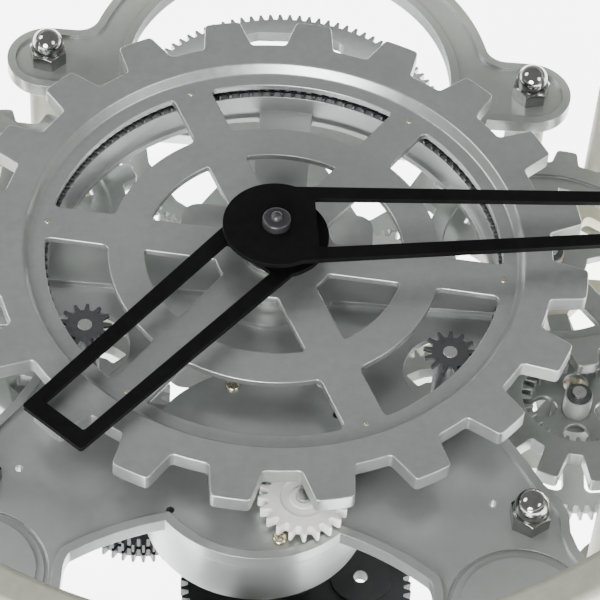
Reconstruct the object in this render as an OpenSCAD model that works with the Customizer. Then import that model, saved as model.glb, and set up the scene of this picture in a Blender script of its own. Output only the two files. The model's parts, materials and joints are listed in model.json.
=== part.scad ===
// Skeleton kitchen clock with a slowly turning open gear train.
// The clock lies on its back: +Z points out of its face, +Y points to twelve o'clock.
// The origin is on the centre axis, in the plane that rests on the wall.

/* [Case] */
// radius of the round front rim, outside
rim_outer_r = 150; // [130:1:180]
// width of the rim's ring
rim_w = 11; // [8:0.5:18]
// height of the rim's back face above the wall
rim_z = 73; // [70:0.5:90]
// depth of the rim from back to front
rim_depth = 9; // [5:0.5:16]
// radius of the posts that carry the rim
rim_post_r = 8; // [5:0.5:10]
// sideways distance of a rim post from the middle
rim_post_x = 100.7; // [98:0.5:104]
// upward distance of a rim post from the middle
rim_post_y = 70.2; // [68:0.5:73]
// thickness of the pads between the back plate and the wall
pad_h = 4; // [2:0.5:8]
// thickness of the back plate
back_t = 4; // [3:0.5:5]
// width of the back plate's bars
back_bar_w = 11; // [8:0.5:14]

/* [Front plate] */
// height of the front plate's back face above the wall
plate_z = 45.8; // [45:0.1:48]
// thickness of the front plate at its raised lip
plate_t = 4.5; // [3.5:0.1:5]
// depth of the panel below the lip
lip_step = 1; // [0.4:0.1:1.5]
// width of the raised lip
lip_w = 2.6; // [1.5:0.1:4]
// radius of the arch above twelve o'clock, outside
arch_r = 61.9; // [58:0.1:66]
// radius of the arch's round opening
arch_hole_r = 49.2; // [46:0.1:52]
// radius of the drum over the motor, outside
drum_r = 31.2; // [29:0.1:33]
// distance of the drum's middle below the clock's middle
drum_y = 66.3; // [65:0.1:68]
// depth of the drum's wall behind the plate
drum_h = 16; // [8:0.5:20]
// wall of the drum and of the bottom window
drum_wall = 2.4; // [1.5:0.1:3.5]
// sideways distance of a pillar from the middle, as a share of the rivet circle's radius
pillar_x_share = 1.13; // [1.12:0.005:1.15]
// upward distance of a pillar from the middle, as a share of the rivet circle's radius
pillar_y_share = 1.21; // [1.19:0.005:1.23]
// radius of the lobes that the dome nuts sit on
ear_r = 12.35; // [10:0.05:14]

/* [Main gear] */
// radius of the main gear's rivet circle, from which its windows are laid out
main_r = 65; // [60:0.5:66]
// width of the toothed ring, from the rivet circle to the roots of the coarse teeth
coarse_band_w = 13.65; // [12:0.05:15]
// height of the coarse teeth
coarse_tooth_h = 9.95; // [8:0.05:11]
// number of coarse teeth
coarse_teeth = 20; // [16:1:24]
// height of the main gear's thin disc above the wall, at its back
disc_z = 57.8; // [57.8:0.1:58.4]
// thickness of the thin disc
disc_t = 2.2; // [1.4:0.1:2.6]
// thickness of the toothed ring
coarse_t = 5; // [4:0.1:6]

/* [Fine gears] */
// tooth size of the drive gear and the white pinion, as a share of the other fine gears'
drive_share = 1.1; // [1.1:0.005:1.12]
// tooth size of the dark reduction gears, as a share of the other fine gears'
dark_share = 0.9; // [0.85:0.01:0.92]

/* [Hands] */
// length of the minute hand from the axis
minute_len = 127; // [110:1:130]
// length of the hour hand from the axis
hour_len = 91; // [80:1:100]
// thickness of each hand
hand_t = 1.5; // [1:0.1:2]
// height of the hour hand's back face above the wall
hour_z = 65.6; // [65.4:0.1:66.5]
// height of the minute hand's back face above the wall
minute_z = 70.2; // [69.6:0.1:70.6]
// clock angle of the hour hand, clockwise from twelve
hour_angle = 217;
// clock angle of the minute hand, clockwise from twelve
minute_angle = 83;

/* [Hidden] */
$fn = 96;
cut = 1;              // overrun of a cut past a face
fit = 0.05;           // radial clearance of a running shaft
gap = 0.3;            // free space between pieces that turn past each other
thread_r = 3;         // radius of the tie rods
stud_r = 2;           // radius of the gear studs
hub_wall = 2;         // wall of a gear's hub tube

overlap = 1;          // how far joined shapes run into each other
root_overlap = 2;     // how far a tooth's foot runs into its ring
coarse_lift = 0.1;    // coarse ring above the disc's underside
pillar_x = pillar_x_share * main_r;
pillar_y = pillar_y_share * main_r;
coarse_root_r = main_r + coarse_band_w;
coarse_tip_r = coarse_root_r + coarse_tooth_h;
rim_inner_r = rim_outer_r - rim_w;
coarse_z = disc_z + coarse_lift;
back_z = pad_h;
back_top = back_z + back_t;
plate_top = plate_z + plate_t;
panel_top = plate_top - lip_step;

// numbers of teeth
ring_inner_teeth = 130;
ring_outer_teeth = 128;
white_teeth = 20;
output_teeth = 69;
reduction_teeth = 50;
motor_teeth = 12;
small_teeth = 13;
slotted_teeth = 46;
second_teeth = 17;
side_teeth = 73;
lower_teeth = 60;
idler_teeth = 24;
top_teeth = 102;

// tooth sizes, as pitch diameter over number of teeth; the ring's inward teeth run on the rivet circle
fine_module = 2 * main_r / ring_inner_teeth;
drive_module = drive_share * fine_module;
dark_module = dark_share * fine_module;

// the fine teeth: addendum and dedendum as shares of the tooth size,
// half widths at root and tip as shares of the tooth pitch
addendum_share = 1.0;
dedendum_share = 1.25;
root_half_share = 0.31;
tip_half_share = 0.11;

function pitch_r(n, m) = n * m / 2;
function polar(r, a) = [r * cos(a), r * sin(a)];
// angle of a tooth on gear 2 that meshes with gear 1 in direction dir
function mesh_phase(n1, phase1, dir, n2) = dir + 180 - (180 - n1 * (dir - phase1)) / n2;
// the same for a pinion inside a ring with inward teeth
function inner_phase(n1, phase1, dir, n2) = dir - (n1 * (dir - phase1) - 180) / n2;

// places of the arbors, all from their meshes
ring_inner_pitch_r = pitch_r(ring_inner_teeth, fine_module);
ring_outer_pitch_r = pitch_r(ring_outer_teeth, drive_module);
white_dir = -80.9;
white_at = polar(ring_outer_pitch_r + pitch_r(white_teeth, drive_module), white_dir);
reduction_dir = 147.7;
reduction_at = white_at
    + polar(pitch_r(output_teeth, dark_module) + pitch_r(reduction_teeth, dark_module), reduction_dir);
motor_dir = -28.1;
motor_at = reduction_at
    + polar(pitch_r(reduction_teeth, dark_module) + pitch_r(motor_teeth, dark_module), motor_dir);
small_dir = -30;
small_at = polar(ring_inner_pitch_r - pitch_r(small_teeth, fine_module), small_dir);
side_dir = 60;
side_at = small_at + polar(pitch_r(slotted_teeth + side_teeth, fine_module), side_dir);
lower_dir = 5.64;
lower_at = small_at + polar(pitch_r(second_teeth + lower_teeth, fine_module), lower_dir);
idler_dir = 176.24;
idler_at = side_at + polar(pitch_r(side_teeth + idler_teeth, fine_module), idler_dir);
top_reach = pitch_r(top_teeth + idler_teeth, fine_module);
top_at = [0, idler_at[1] + sqrt(top_reach * top_reach - idler_at[0] * idler_at[0])];
arch_y = top_at[1];
top_dir = atan2(idler_at[1] - top_at[1], idler_at[0] - top_at[0]);

// tooth phases, each from the gear that it meshes
ring_phase = 0;
white_phase = mesh_phase(ring_outer_teeth, ring_phase, white_dir, white_teeth);
output_phase = 0;
reduction_phase = mesh_phase(output_teeth, output_phase, reduction_dir, reduction_teeth);
motor_phase = mesh_phase(reduction_teeth, reduction_phase, motor_dir, motor_teeth);
small_phase = inner_phase(ring_inner_teeth, ring_phase, small_dir, small_teeth);
slotted_phase = 0;
side_phase = mesh_phase(slotted_teeth, slotted_phase, side_dir, side_teeth);
lower_phase = mesh_phase(second_teeth, slotted_phase, lower_dir, lower_teeth);
idler_phase = mesh_phase(side_teeth, side_phase, idler_dir, idler_teeth);
top_phase = 0;
idler_low_phase = mesh_phase(top_teeth, top_phase, top_dir, idler_teeth);

// levels of the fine gears
output_z = 10;
dark_t = 3.5;
tier_gap = 1.5;
reduction_z = output_z + dark_t + tier_gap;
second_z = 19.5;
fine_t = 4;
level_gap = 0.5;
wheel_z = second_z + fine_t + level_gap;
wheel_top = wheel_z + fine_t;
side_z = 37.6;
side_t = 4;
lower_z = 32;
lower_t = 5;

// Shared shapes
module ring_2d(outer, inner) {
    difference() {
        circle(r = outer);
        circle(r = inner);
    }
}

module tube(outer, inner, h) {
    difference() {
        cylinder(r = outer, h = h);
        translate([0, 0, -cut]) cylinder(r = inner, h = h + 2 * cut);
    }
}

// outline of n straight-sided teeth between two radii
module teeth_2d(n, root, tip, root_half, tip_half, phase) {
    polygon([for (i = [0 : n - 1]) let (a = phase + i * 360 / n) each [
        polar(root, a - root_half), polar(tip, a - tip_half),
        polar(tip, a + tip_half), polar(root, a + root_half)]]);
}

module fine_teeth_2d(n, m, phase) {
    pitch = 360 / n;
    teeth_2d(n, pitch_r(n, m) - dedendum_share * m, pitch_r(n, m) + addendum_share * m,
             root_half_share * pitch, tip_half_share * pitch, phase);
}

// space left by inward teeth
module inner_teeth_2d(n, m, phase) {
    pitch = 360 / n;
    teeth_2d(n, pitch_r(n, m) - addendum_share * m, pitch_r(n, m) + dedendum_share * m,
             (0.5 - tip_half_share) * pitch, (0.5 - root_half_share) * pitch, phase + pitch / 2);
}

// a fine gear with a bore
module fine_gear(n, m, phase, h, bore) {
    difference() {
        linear_extrude(h) fine_teeth_2d(n, m, phase);
        translate([0, 0, -cut]) cylinder(r = bore, h = h + 2 * cut);
    }
}

// a window between two radii and two spokes of a given width
module spoke_windows_2d(count, outer, inner, spoke, round_r, start) {
    for (i = [0 : count - 1]) rotate(start + i * 360 / count)
        offset(r = round_r, $fn = 16) offset(delta = -round_r) difference() {
            ring_2d(outer, inner);
            translate([-outer, -2 * outer + spoke / 2]) square([3 * outer, 2 * outer]);
            rotate(360 / count) translate([-outer, -spoke / 2]) square([3 * outer, 2 * outer]);
            rotate(180) translate([0, -outer]) square([outer, 2 * outer]);
        }
}

module at_pillars() {
    for (x = [-pillar_x, pillar_x]) for (y = [-pillar_y, pillar_y]) translate([x, y, 0]) children();
}

module at_rim_posts() {
    for (x = [-1, 1]) for (y = [-1, 1])
        translate([x * rim_post_x, y * rim_post_y, 0]) children();
}

// Rim and its posts
rim_round = 2.5;
rim_mid_r = (rim_outer_r + rim_inner_r) / 2;
bracket_z = 62.5;
bracket_t = 4.5;
bracket_w = 14;
rim_post_dir = atan2(rim_post_y, rim_post_x);
rim_post_dist = norm([rim_post_x, rim_post_y]);
collar_r = 10.5;
collar_z = 13;
collar_h = 4;
rim_screw_r = 2;
rim_screw_deep = 6;
screw_head_r = 3.6;
screw_head_h = 2.2;

module rim() {
    color([0.80, 0.78, 0.70]) difference() {
        rotate_extrude($fn = 180) polygon([
            [rim_inner_r, rim_z], [rim_outer_r, rim_z],
            [rim_outer_r, rim_z + rim_depth - rim_round],
            for (a = [0 : 15 : 90]) [rim_outer_r - rim_round, rim_z + rim_depth - rim_round] + polar(rim_round, a),
            for (a = [90 : 15 : 180]) [rim_inner_r + rim_round, rim_z + rim_depth - rim_round] + polar(rim_round, a)]);
        for (x = [-1, 1]) for (y = [-1, 1]) rotate(90 - x * 90 + x * y * rim_post_dir)
            translate([rim_mid_r, 0, rim_z - cut]) cylinder(r = rim_screw_r, h = rim_screw_deep + cut, $fn = 32);
    }
}

module rim_posts() {
    color([0.80, 0.78, 0.70]) at_rim_posts() difference() {
        union() {
            translate([0, 0, back_top]) cylinder(r = rim_post_r, h = bracket_z - back_top);
            translate([0, 0, collar_z]) cylinder(r = collar_r, h = collar_h);
        }
        translate([0, 0, bracket_z - rim_screw_deep]) cylinder(r = rim_screw_r, h = rim_screw_deep + cut, $fn = 32);
        translate([0, 0, back_top - cut]) cylinder(r = rim_screw_r, h = rim_screw_deep + cut, $fn = 32);
    }
}

bracket_shoulder = 2;
module rim_brackets() {
    riser = rim_z - bracket_z;
    color([0.62, 0.64, 0.64])
    for (x = [-1, 1]) for (y = [-1, 1]) rotate(90 - x * 90 + x * y * rim_post_dir) difference() {
        union() {
            translate([rim_post_dist, -bracket_w / 2, bracket_z])
                cube([rim_mid_r - rim_post_dist, bracket_w, bracket_t]);
            translate([rim_post_dist, 0, bracket_z]) cylinder(r = bracket_w / 2, h = bracket_t);
            translate([rim_mid_r, 0, bracket_z]) cylinder(r = bracket_w / 2 - bracket_shoulder, h = riser);
            translate([rim_mid_r, 0, bracket_z]) cylinder(r = bracket_w / 2, h = bracket_t);
        }
        translate([rim_post_dist, 0, bracket_z - cut]) cylinder(r = rim_screw_r, h = riser + 2 * cut, $fn = 32);
        translate([rim_mid_r, 0, bracket_z - cut]) cylinder(r = rim_screw_r, h = riser + 2 * cut, $fn = 32);
    }
}

// one screw whose head sits at z = 0 and whose shank points down
module screw(shank_r, shank_l, head_r, head_h) {
    slot_w = head_r / 3;
    difference() {
        union() {
            cylinder(r = head_r, h = head_h * 0.5, $fn = 32);
            translate([0, 0, head_h * 0.5]) cylinder(r1 = head_r, r2 = head_r * 0.6, h = head_h * 0.5, $fn = 32);
            translate([0, 0, -shank_l]) cylinder(r = shank_r, h = shank_l + head_h * 0.5, $fn = 32);
        }
        for (a = [0, 90]) rotate(a)
            translate([-head_r * 0.6, -slot_w / 2, head_h * 0.5]) cube([head_r * 1.2, slot_w, head_h]);
    }
}

module rim_screws() {
    color([0.75, 0.74, 0.70])
    for (x = [-1, 1]) for (y = [-1, 1]) rotate(90 - x * 90 + x * y * rim_post_dir) {
        translate([rim_post_dist, 0, bracket_z + bracket_t])
            screw(rim_screw_r, bracket_t + rim_screw_deep - cut, screw_head_r, screw_head_h);
        translate([rim_mid_r, 0, bracket_z]) rotate([180, 0, 0])
            screw(rim_screw_r, rim_z - bracket_z + rim_screw_deep - cut, screw_head_r, screw_head_h);
    }
    color([0.75, 0.74, 0.70]) at_rim_posts() translate([0, 0, back_z]) rotate([180, 0, 0])
        screw(rim_screw_r, back_t + rim_screw_deep - cut, screw_head_r, screw_head_h);
}

// Pillars and back plate
pillar_r = 6;
pad_r = 11;
pad_recess_r = 6.5;
pad_recess_h = 2.4;
movement_w = 56;
window_play = 5;
window_w = movement_w + window_play;
frame_w = window_w + 2 * back_bar_w;
boss_r = 6.5;
hanger_r = 4;
hanger_y = 118;
hanger_boss_r = 11;
battery_w = 58;
battery_d = 18;
battery_h = 36;
battery_y = -132;
battery_frame_w = 5;
battery_flange = 2.5;
battery_flange_t = 1.6;

module bar_2d(from, to, w) {
    d = to - from;
    translate(from) rotate(atan2(d[1], d[0])) translate([0, -w / 2]) square([norm(d), w]);
}

module back_outline_2d() {
    corner = frame_w / 2 - back_bar_w / 2;
    square([frame_w, frame_w], center = true);
    for (x = [-1, 1]) {
        for (y = [-1, 1]) {
            pillar = [x * pillar_x, y * pillar_y];
            post = [x * rim_post_x, y * rim_post_y];
            bar_2d([x * corner, y * corner], pillar, back_bar_w);
            bar_2d(pillar, post, back_bar_w);
            translate(pillar) circle(r = pad_r);
            translate(post) circle(r = collar_r);
        }
        for (p = [small_at, side_at, lower_at, idler_at])
            translate([x * p[0], p[1]]) circle(r = boss_r);
        bar_2d([x * corner, 0], [x * side_at[0], side_at[1]], back_bar_w);
        bar_2d([x * side_at[0], side_at[1]], [x * lower_at[0], lower_at[1]], back_bar_w);
        bar_2d([x * corner, lower_at[1]], [x * lower_at[0], lower_at[1]], back_bar_w);
    }
    bar_2d([0, corner], [0, hanger_y], back_bar_w);
    translate([0, hanger_y]) circle(r = hanger_boss_r);
    bar_2d([-pillar_x, pillar_y], [0, hanger_y], back_bar_w);
    bar_2d([pillar_x, pillar_y], [0, hanger_y], back_bar_w);
    translate(top_at) circle(r = boss_r);
    bar_2d([0, -corner], [0, battery_y + battery_d], back_bar_w);
    translate([-battery_w / 2 - battery_frame_w, battery_y - battery_frame_w])
        square([battery_w + 2 * battery_frame_w, battery_d + 2 * battery_frame_w]);
    bar_2d([-pillar_x, -pillar_y], [0, battery_y + battery_d / 2], back_bar_w);
    bar_2d([pillar_x, -pillar_y], [0, battery_y + battery_d / 2], back_bar_w);
    bar_2d([0, white_at[1]], white_at, back_bar_w);
    translate(white_at) circle(r = boss_r);
    bar_2d([-corner, -corner], reduction_at, back_bar_w);
    translate(reduction_at) circle(r = boss_r);
}

module at_studs() {
    for (x = [-1, 1]) for (p = [small_at, side_at, lower_at, idler_at])
        translate([x * p[0], p[1], 0]) children();
    translate([top_at[0], top_at[1], 0]) children();
    translate([reduction_at[0], reduction_at[1], 0]) children();
}

module back_plate() {
    color([0.55, 0.57, 0.57]) difference() {
        translate([0, 0, back_z]) linear_extrude(back_t) difference() {
            back_outline_2d();
            square([window_w, window_w], center = true);
            translate([-battery_w / 2, battery_y]) square([battery_w, battery_d]);
        }
        translate([0, 0, back_z - cut]) {
            at_studs() cylinder(r = stud_r, h = back_t + 2 * cut, $fn = 48);
            translate([white_at[0], white_at[1], 0])
                cylinder(r = stud_r + fit, h = back_t + 2 * cut, $fn = 48);
            at_pillars() cylinder(r = thread_r, h = back_t + 2 * cut, $fn = 48);
            at_rim_posts() cylinder(r = rim_screw_r, h = back_t + 2 * cut, $fn = 32);
            translate([0, hanger_y, 0]) cylinder(r = hanger_r, h = back_t + 2 * cut, $fn = 48);
        }
    }
}

module wall_pads() {
    color([0.20, 0.20, 0.20]) at_pillars() difference() {
        cylinder(r = pad_r, h = pad_h);
        translate([0, 0, -cut]) cylinder(r = pad_recess_r, h = pad_recess_h + cut);
        translate([0, 0, -cut]) cylinder(r = thread_r, h = pad_h + 2 * cut, $fn = 48);
    }
}

module pillars() {
    color([0.80, 0.78, 0.70]) at_pillars() translate([0, 0, back_top])
        tube(pillar_r, thread_r, plate_z - back_top);
}

nut_flat_w = 10;
nut_h = 5;
dome_r = 4.6;
dome_h = 11.5;
rod_head_h = 1.8;
rod_head_r = 5.2;
rod_reach = 8;
rod_end = panel_top + rod_reach;

module tie_rods() {
    color([0.72, 0.72, 0.70]) at_pillars() {
        translate([0, 0, pad_recess_h - rod_head_h]) cylinder(r = rod_head_r, h = rod_head_h, $fn = 6);
        translate([0, 0, pad_recess_h - cut * 0.5]) cylinder(r = thread_r, h = rod_end - pad_recess_h, $fn = 48);
    }
}

module dome_nuts() {
    color([0.80, 0.80, 0.78]) at_pillars() translate([0, 0, panel_top]) difference() {
        union() {
            intersection() {
                cylinder(r = nut_flat_w / sqrt(3), h = nut_h, $fn = 6);
                cylinder(r1 = nut_flat_w / sqrt(3) + nut_h, r2 = nut_flat_w * 0.5, h = nut_h, $fn = 64);
            }
            cylinder(r = dome_r, h = dome_h - dome_r);
            translate([0, 0, dome_h - dome_r]) sphere(r = dome_r, $fn = 48);
        }
        translate([0, 0, -cut]) cylinder(r = thread_r, h = rod_end - panel_top + cut, $fn = 48);
    }
}

// Front plate
// right-hand outline of the lower plate, as shares of the main radius
lower_edge_shares = [[0.9, -0.5], [1.039, -0.807], [1.121, -0.927], [1.188, -1.033], [1.256, -1.1],
    [1.294, -1.177], [1.299, -1.263], [1.328, -1.34], [1.362, -1.393], [1.62, -1.60], [1.62, -2.4]];
foot_gap = 4;
foot_r = rim_inner_r - foot_gap;
collar_in_band = 0.9;
collar_out_band = 1.1;
collar_drop = 2.35;
collar_in_r = main_r - collar_in_band;
collar_out_r = main_r + collar_out_band;
collar_top = disc_z - collar_drop;
skirt_band = 5.2;
skirt_disc_r = main_r + skirt_band;
ear_fillet = 6.5;
fillet_bite = 0.06;
window_arc_y = -162.5;
window_arc_r = 78;
window_half_w = 48.5;
window_bottom_y = -123;
window_round = 6;
roof_edge = 0.6;
emboss_x_share = 1.1;
emboss_y_share = -1.655;
emboss_x = emboss_x_share * main_r;
emboss_y = emboss_y_share * main_r;
emboss_r = 16.25;
emboss_step = 0.7;
groove_r = 18.4;
groove_w = 1.1;
spider_hole_r = 12.35;
beam_half_w = 8.1;
arm_half_w = 7.8;
floor_t = 2;
beam_drop = 0.8;
beam_top = plate_top - beam_drop;
window_edge = 2;
window_in_r = main_r - window_edge;
centre_r = 19;
bracket_screws = [[-8.65, -41.15, beam_top], [7.4, -90.7, panel_top]];
bracket_screw_r = 1.4;
bracket_head_r = 2.1;
bracket_head_h = 1.3;
spare_hole_r = 1.1;
spare_holes = [[20.5, -48.4], [-22.2, -83.8], [63.7, -74.1], [-63.7, -74.1]];

module lower_plate_2d() {
    intersection() {
        circle(r = foot_r, $fn = 180);
        polygon(concat([for (p = lower_edge_shares) p * main_r],
            [for (i = [len(lower_edge_shares) - 1 : -1 : 0])
                [-lower_edge_shares[i][0], lower_edge_shares[i][1]] * main_r]));
    }
}

// one ear with its neck and the two fillets that blend it into the arch
module ear_2d() {
    reach = arch_r + ear_fillet - fillet_bite;
    top_y = pillar_y + ear_r;
    fillet_y = top_y + ear_fillet;
    fillet_x = sqrt(reach * reach - (fillet_y - arch_y) * (fillet_y - arch_y));
    translate([pillar_x, pillar_y]) circle(r = ear_r);
    translate([arch_r - ear_r, pillar_y - ear_r]) square([pillar_x - arch_r + ear_r, 2 * ear_r]);
    difference() {
        translate([fillet_x - ear_fillet, top_y - cut]) square([ear_fillet, ear_fillet + cut]);
        translate([fillet_x, fillet_y]) circle(r = ear_fillet);
    }
}

module plate_outline_2d() {
    circle(r = skirt_disc_r);
    translate([0, arch_y]) circle(r = arch_r, $fn = 192);
    ear_2d();
    mirror([1, 0]) ear_2d();
    lower_plate_2d();
}

module bottom_window_2d() {
    offset(r = window_round, $fn = 32) offset(delta = -window_round) intersection() {
        translate([0, window_arc_y]) circle(r = window_arc_r);
        translate([-window_half_w, window_bottom_y]) square([2 * window_half_w, 2 * window_half_w]);
    }
}

module drum_roof_2d() {
    translate([0, -drum_y]) circle(r = drum_r + roof_edge);
}

// openings inside the collar: two above the beam, two beside the drum
module spider_windows_2d() {
    for (x = [-1, 1]) scale([x, 1]) difference() {
        circle(r = window_in_r);
        translate([-2 * window_in_r, -2 * window_in_r]) square([2 * window_in_r + arm_half_w, 4 * window_in_r]);
        translate([-cut, -2 * window_in_r]) square([2 * window_in_r, 2 * window_in_r + beam_half_w]);
        circle(r = centre_r);
    }
}

// small wedge beside the drum, its outer edge straight and its inner edge round the drum
wedge_shares = [[0.49, -0.73], [0.34, -0.50], [0.20, -0.50], [0.24, -0.62], [0.38, -0.74]];
module drum_wedges_2d() {
    for (x = [-1, 1]) scale([x, 1]) difference() {
        polygon([for (p = wedge_shares) p * main_r]);
        translate([0, -drum_y]) circle(r = drum_r + roof_edge);
    }
}

module bridge_plate() {
    color([0.52, 0.55, 0.55]) difference() {
        union() {
            translate([0, 0, plate_z]) linear_extrude(plate_t) difference() {
                union() {
                    difference() {
                        plate_outline_2d();
                        bottom_window_2d();
                    }
                    drum_roof_2d();
                }
                difference() {
                    translate([0, arch_y]) circle(r = arch_hole_r, $fn = 192);
                    circle(r = skirt_disc_r);
                }
                circle(r = collar_in_r);
            }
            translate([0, 0, plate_z]) linear_extrude(collar_top - plate_z) ring_2d(collar_out_r, collar_in_r);
            translate([0, 0, plate_z]) linear_extrude(floor_t) circle(r = collar_in_r + overlap);
            translate([0, 0, plate_z]) linear_extrude(beam_top - plate_z) intersection() {
                circle(r = collar_in_r + overlap);
                union() {
                    square([4 * main_r, 2 * beam_half_w], center = true);
                    translate([-arm_half_w, 0]) square([2 * arm_half_w, 2 * main_r]);
                    circle(r = centre_r);
                    translate([0, -drum_y]) circle(r = drum_r);
                }
            }
            translate([0, -drum_y, plate_z - drum_h]) linear_extrude(drum_h + cut)
                ring_2d(drum_r, drum_r - drum_wall);
        }
        // sunk panels inside the lip
        translate([0, 0, panel_top]) linear_extrude(plate_t) difference() {
            offset(delta = -lip_w) difference() {
                plate_outline_2d();
                translate([0, arch_y]) circle(r = arch_hole_r, $fn = 192);
                difference() {
                    bottom_window_2d();
                    drum_roof_2d();
                }
            }
            circle(r = collar_out_r);
            for (x = [-1, 1]) translate([x * emboss_x, emboss_y]) circle(r = emboss_r);
        }
        for (x = [-1, 1]) translate([x * emboss_x, emboss_y, panel_top - emboss_step])
            linear_extrude(plate_t) ring_2d(groove_r + groove_w, groove_r);
        translate([0, 0, plate_z - cut]) linear_extrude(plate_t + 2 * cut) {
            spider_windows_2d();
            drum_wedges_2d();
        }
        translate([0, 0, plate_z - cut]) {
            for (x = [-1, 1]) translate([x * small_at[0], small_at[1], 0])
                cylinder(r = spider_hole_r, h = plate_t + 2 * cut);
            at_pillars() cylinder(r = thread_r, h = plate_t + 2 * cut, $fn = 48);
            for (p = bracket_screws) translate([p[0], p[1], 0])
                cylinder(r = bracket_screw_r, h = plate_t + 2 * cut, $fn = 32);
            for (p = spare_holes) translate([p[0], p[1], 0])
                cylinder(r = spare_hole_r, h = plate_t + 2 * cut, $fn = 32);
            translate([white_at[0], white_at[1], 0]) cylinder(r = bush_r, h = plate_t + 2 * cut, $fn = 48);
            cylinder(r = movement_bush_r, h = plate_t + 2 * cut);
            translate([reduction_at[0], reduction_at[1], 0]) cylinder(r = stud_r, h = plate_t + 2 * cut, $fn = 48);
        }
    }
}

// Motor and its gears
bush_r = 4;
bush_flange_r = 5.5;
bush_flange_h = 1.4;
bracket_r = 28.4;
motor_bracket_t = 2;
motor_r = 12;
motor_h = 20;
motor_boss_r = 4;
motor_boss_h = 2;
motor_shaft_r = 1.5;
white_z = panel_top + bush_flange_h + gap;
white_t = 3.8;
arbor_end = 0.5;

module motor_bracket() {
    color([0.70, 0.70, 0.68]) difference() {
        translate([0, -drum_y, plate_z - motor_bracket_t]) cylinder(r = bracket_r, h = motor_bracket_t);
        translate([0, 0, plate_z - motor_bracket_t - cut]) {
            for (p = bracket_screws) translate([p[0], p[1], 0])
                cylinder(r = bracket_screw_r, h = motor_bracket_t + 2 * cut, $fn = 32);
            translate([white_at[0], white_at[1], 0])
                cylinder(r = bush_r, h = motor_bracket_t + 2 * cut, $fn = 48);
        }
    }
}

module motor_screws() {
    color([0.75, 0.70, 0.55]) for (p = bracket_screws)
        translate(p) screw(bracket_screw_r - gap / 3, p[2] - plate_z + motor_bracket_t, bracket_head_r, bracket_head_h);
}

module motor() {
    top = plate_z - motor_bracket_t;
    color([0.35, 0.35, 0.36]) translate([motor_at[0], motor_at[1], 0]) difference() {
        union() {
            translate([0, 0, top - motor_h]) cylinder(r = motor_r, h = motor_h);
            translate([0, 0, top - motor_h - motor_boss_h]) cylinder(r = motor_boss_r, h = motor_boss_h + cut);
        }
        translate([0, 0, top - motor_h - motor_boss_h - cut])
            cylinder(r = motor_shaft_r + fit, h = motor_h / 2, $fn = 48);
    }
}

module motor_pinion() {
    top = plate_z - motor_bracket_t;
    color([0.85, 0.84, 0.80]) translate([motor_at[0], motor_at[1], 0]) {
        translate([0, 0, reduction_z]) linear_extrude(dark_t + overlap)
            fine_teeth_2d(motor_teeth, dark_module, motor_phase);
        translate([0, 0, reduction_z])
            cylinder(r = motor_shaft_r, h = top - motor_h + motor_boss_h - reduction_z, $fn = 48);
    }
}

reduction_hub_rise = 2;
reduction_core_share = 0.8;
module reduction_gear() {
    color([0.16, 0.16, 0.17]) translate([reduction_at[0], reduction_at[1], 0]) difference() {
        union() {
            for (z = [output_z, reduction_z]) translate([0, 0, z])
                linear_extrude(dark_t) fine_teeth_2d(reduction_teeth, dark_module, reduction_phase);
            translate([0, 0, back_top + gap])
                cylinder(r = stud_r + hub_wall, h = reduction_z + dark_t + reduction_hub_rise - back_top - gap);
            translate([0, 0, output_z])
                cylinder(r = pitch_r(reduction_teeth, dark_module) * reduction_core_share,
                    h = reduction_z + dark_t - output_z);
        }
        translate([0, 0, back_top]) cylinder(r = stud_r + fit, h = plate_z - back_top, $fn = 48);
    }
}

output_boss_r = 8.5;
output_boss_at = 18;
output_boss_rise = 1;
module output_wheel() {
    color([0.16, 0.16, 0.17]) translate([white_at[0], white_at[1], 0]) difference() {
        union() {
            translate([0, 0, output_z]) linear_extrude(dark_t)
                fine_teeth_2d(output_teeth, dark_module, output_phase);
            for (a = [10, 130, 250]) rotate(a) translate([output_boss_at, 0, output_z])
                cylinder(r = output_boss_r, h = dark_t + output_boss_rise);
            translate([0, 0, back_top + gap]) cylinder(r = stud_r + hub_wall, h = reduction_z + dark_t - back_top);
        }
        translate([0, 0, back_top - cut]) cylinder(r = stud_r, h = reduction_z + dark_t, $fn = 48);
        for (a = [10, 130, 250]) rotate(a) translate([output_boss_at, 0, output_z - cut])
            cylinder(r = stud_r, h = dark_t + 3 * cut, $fn = 32);
    }
}

arbor_proud = 1;
module output_arbor() {
    color([0.72, 0.72, 0.70]) translate([white_at[0], white_at[1], back_z + arbor_end])
        cylinder(r = stud_r, h = white_z + white_t + arbor_proud - back_z - arbor_end, $fn = 48);
}

module output_bush() {
    color([0.80, 0.66, 0.36]) translate([white_at[0], white_at[1], 0]) difference() {
        union() {
            translate([0, 0, plate_z - motor_bracket_t]) cylinder(r = bush_r, h = panel_top - plate_z + motor_bracket_t);
            translate([0, 0, panel_top]) cylinder(r = bush_flange_r, h = bush_flange_h);
        }
        translate([0, 0, plate_z - motor_bracket_t - cut]) cylinder(r = stud_r + fit, h = plate_t + 4 * cut, $fn = 48);
    }
}

module drive_pinion() {
    color([0.93, 0.93, 0.91]) translate([white_at[0], white_at[1], white_z])
        fine_gear(white_teeth, drive_module, white_phase, white_t, stud_r);
}

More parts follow.
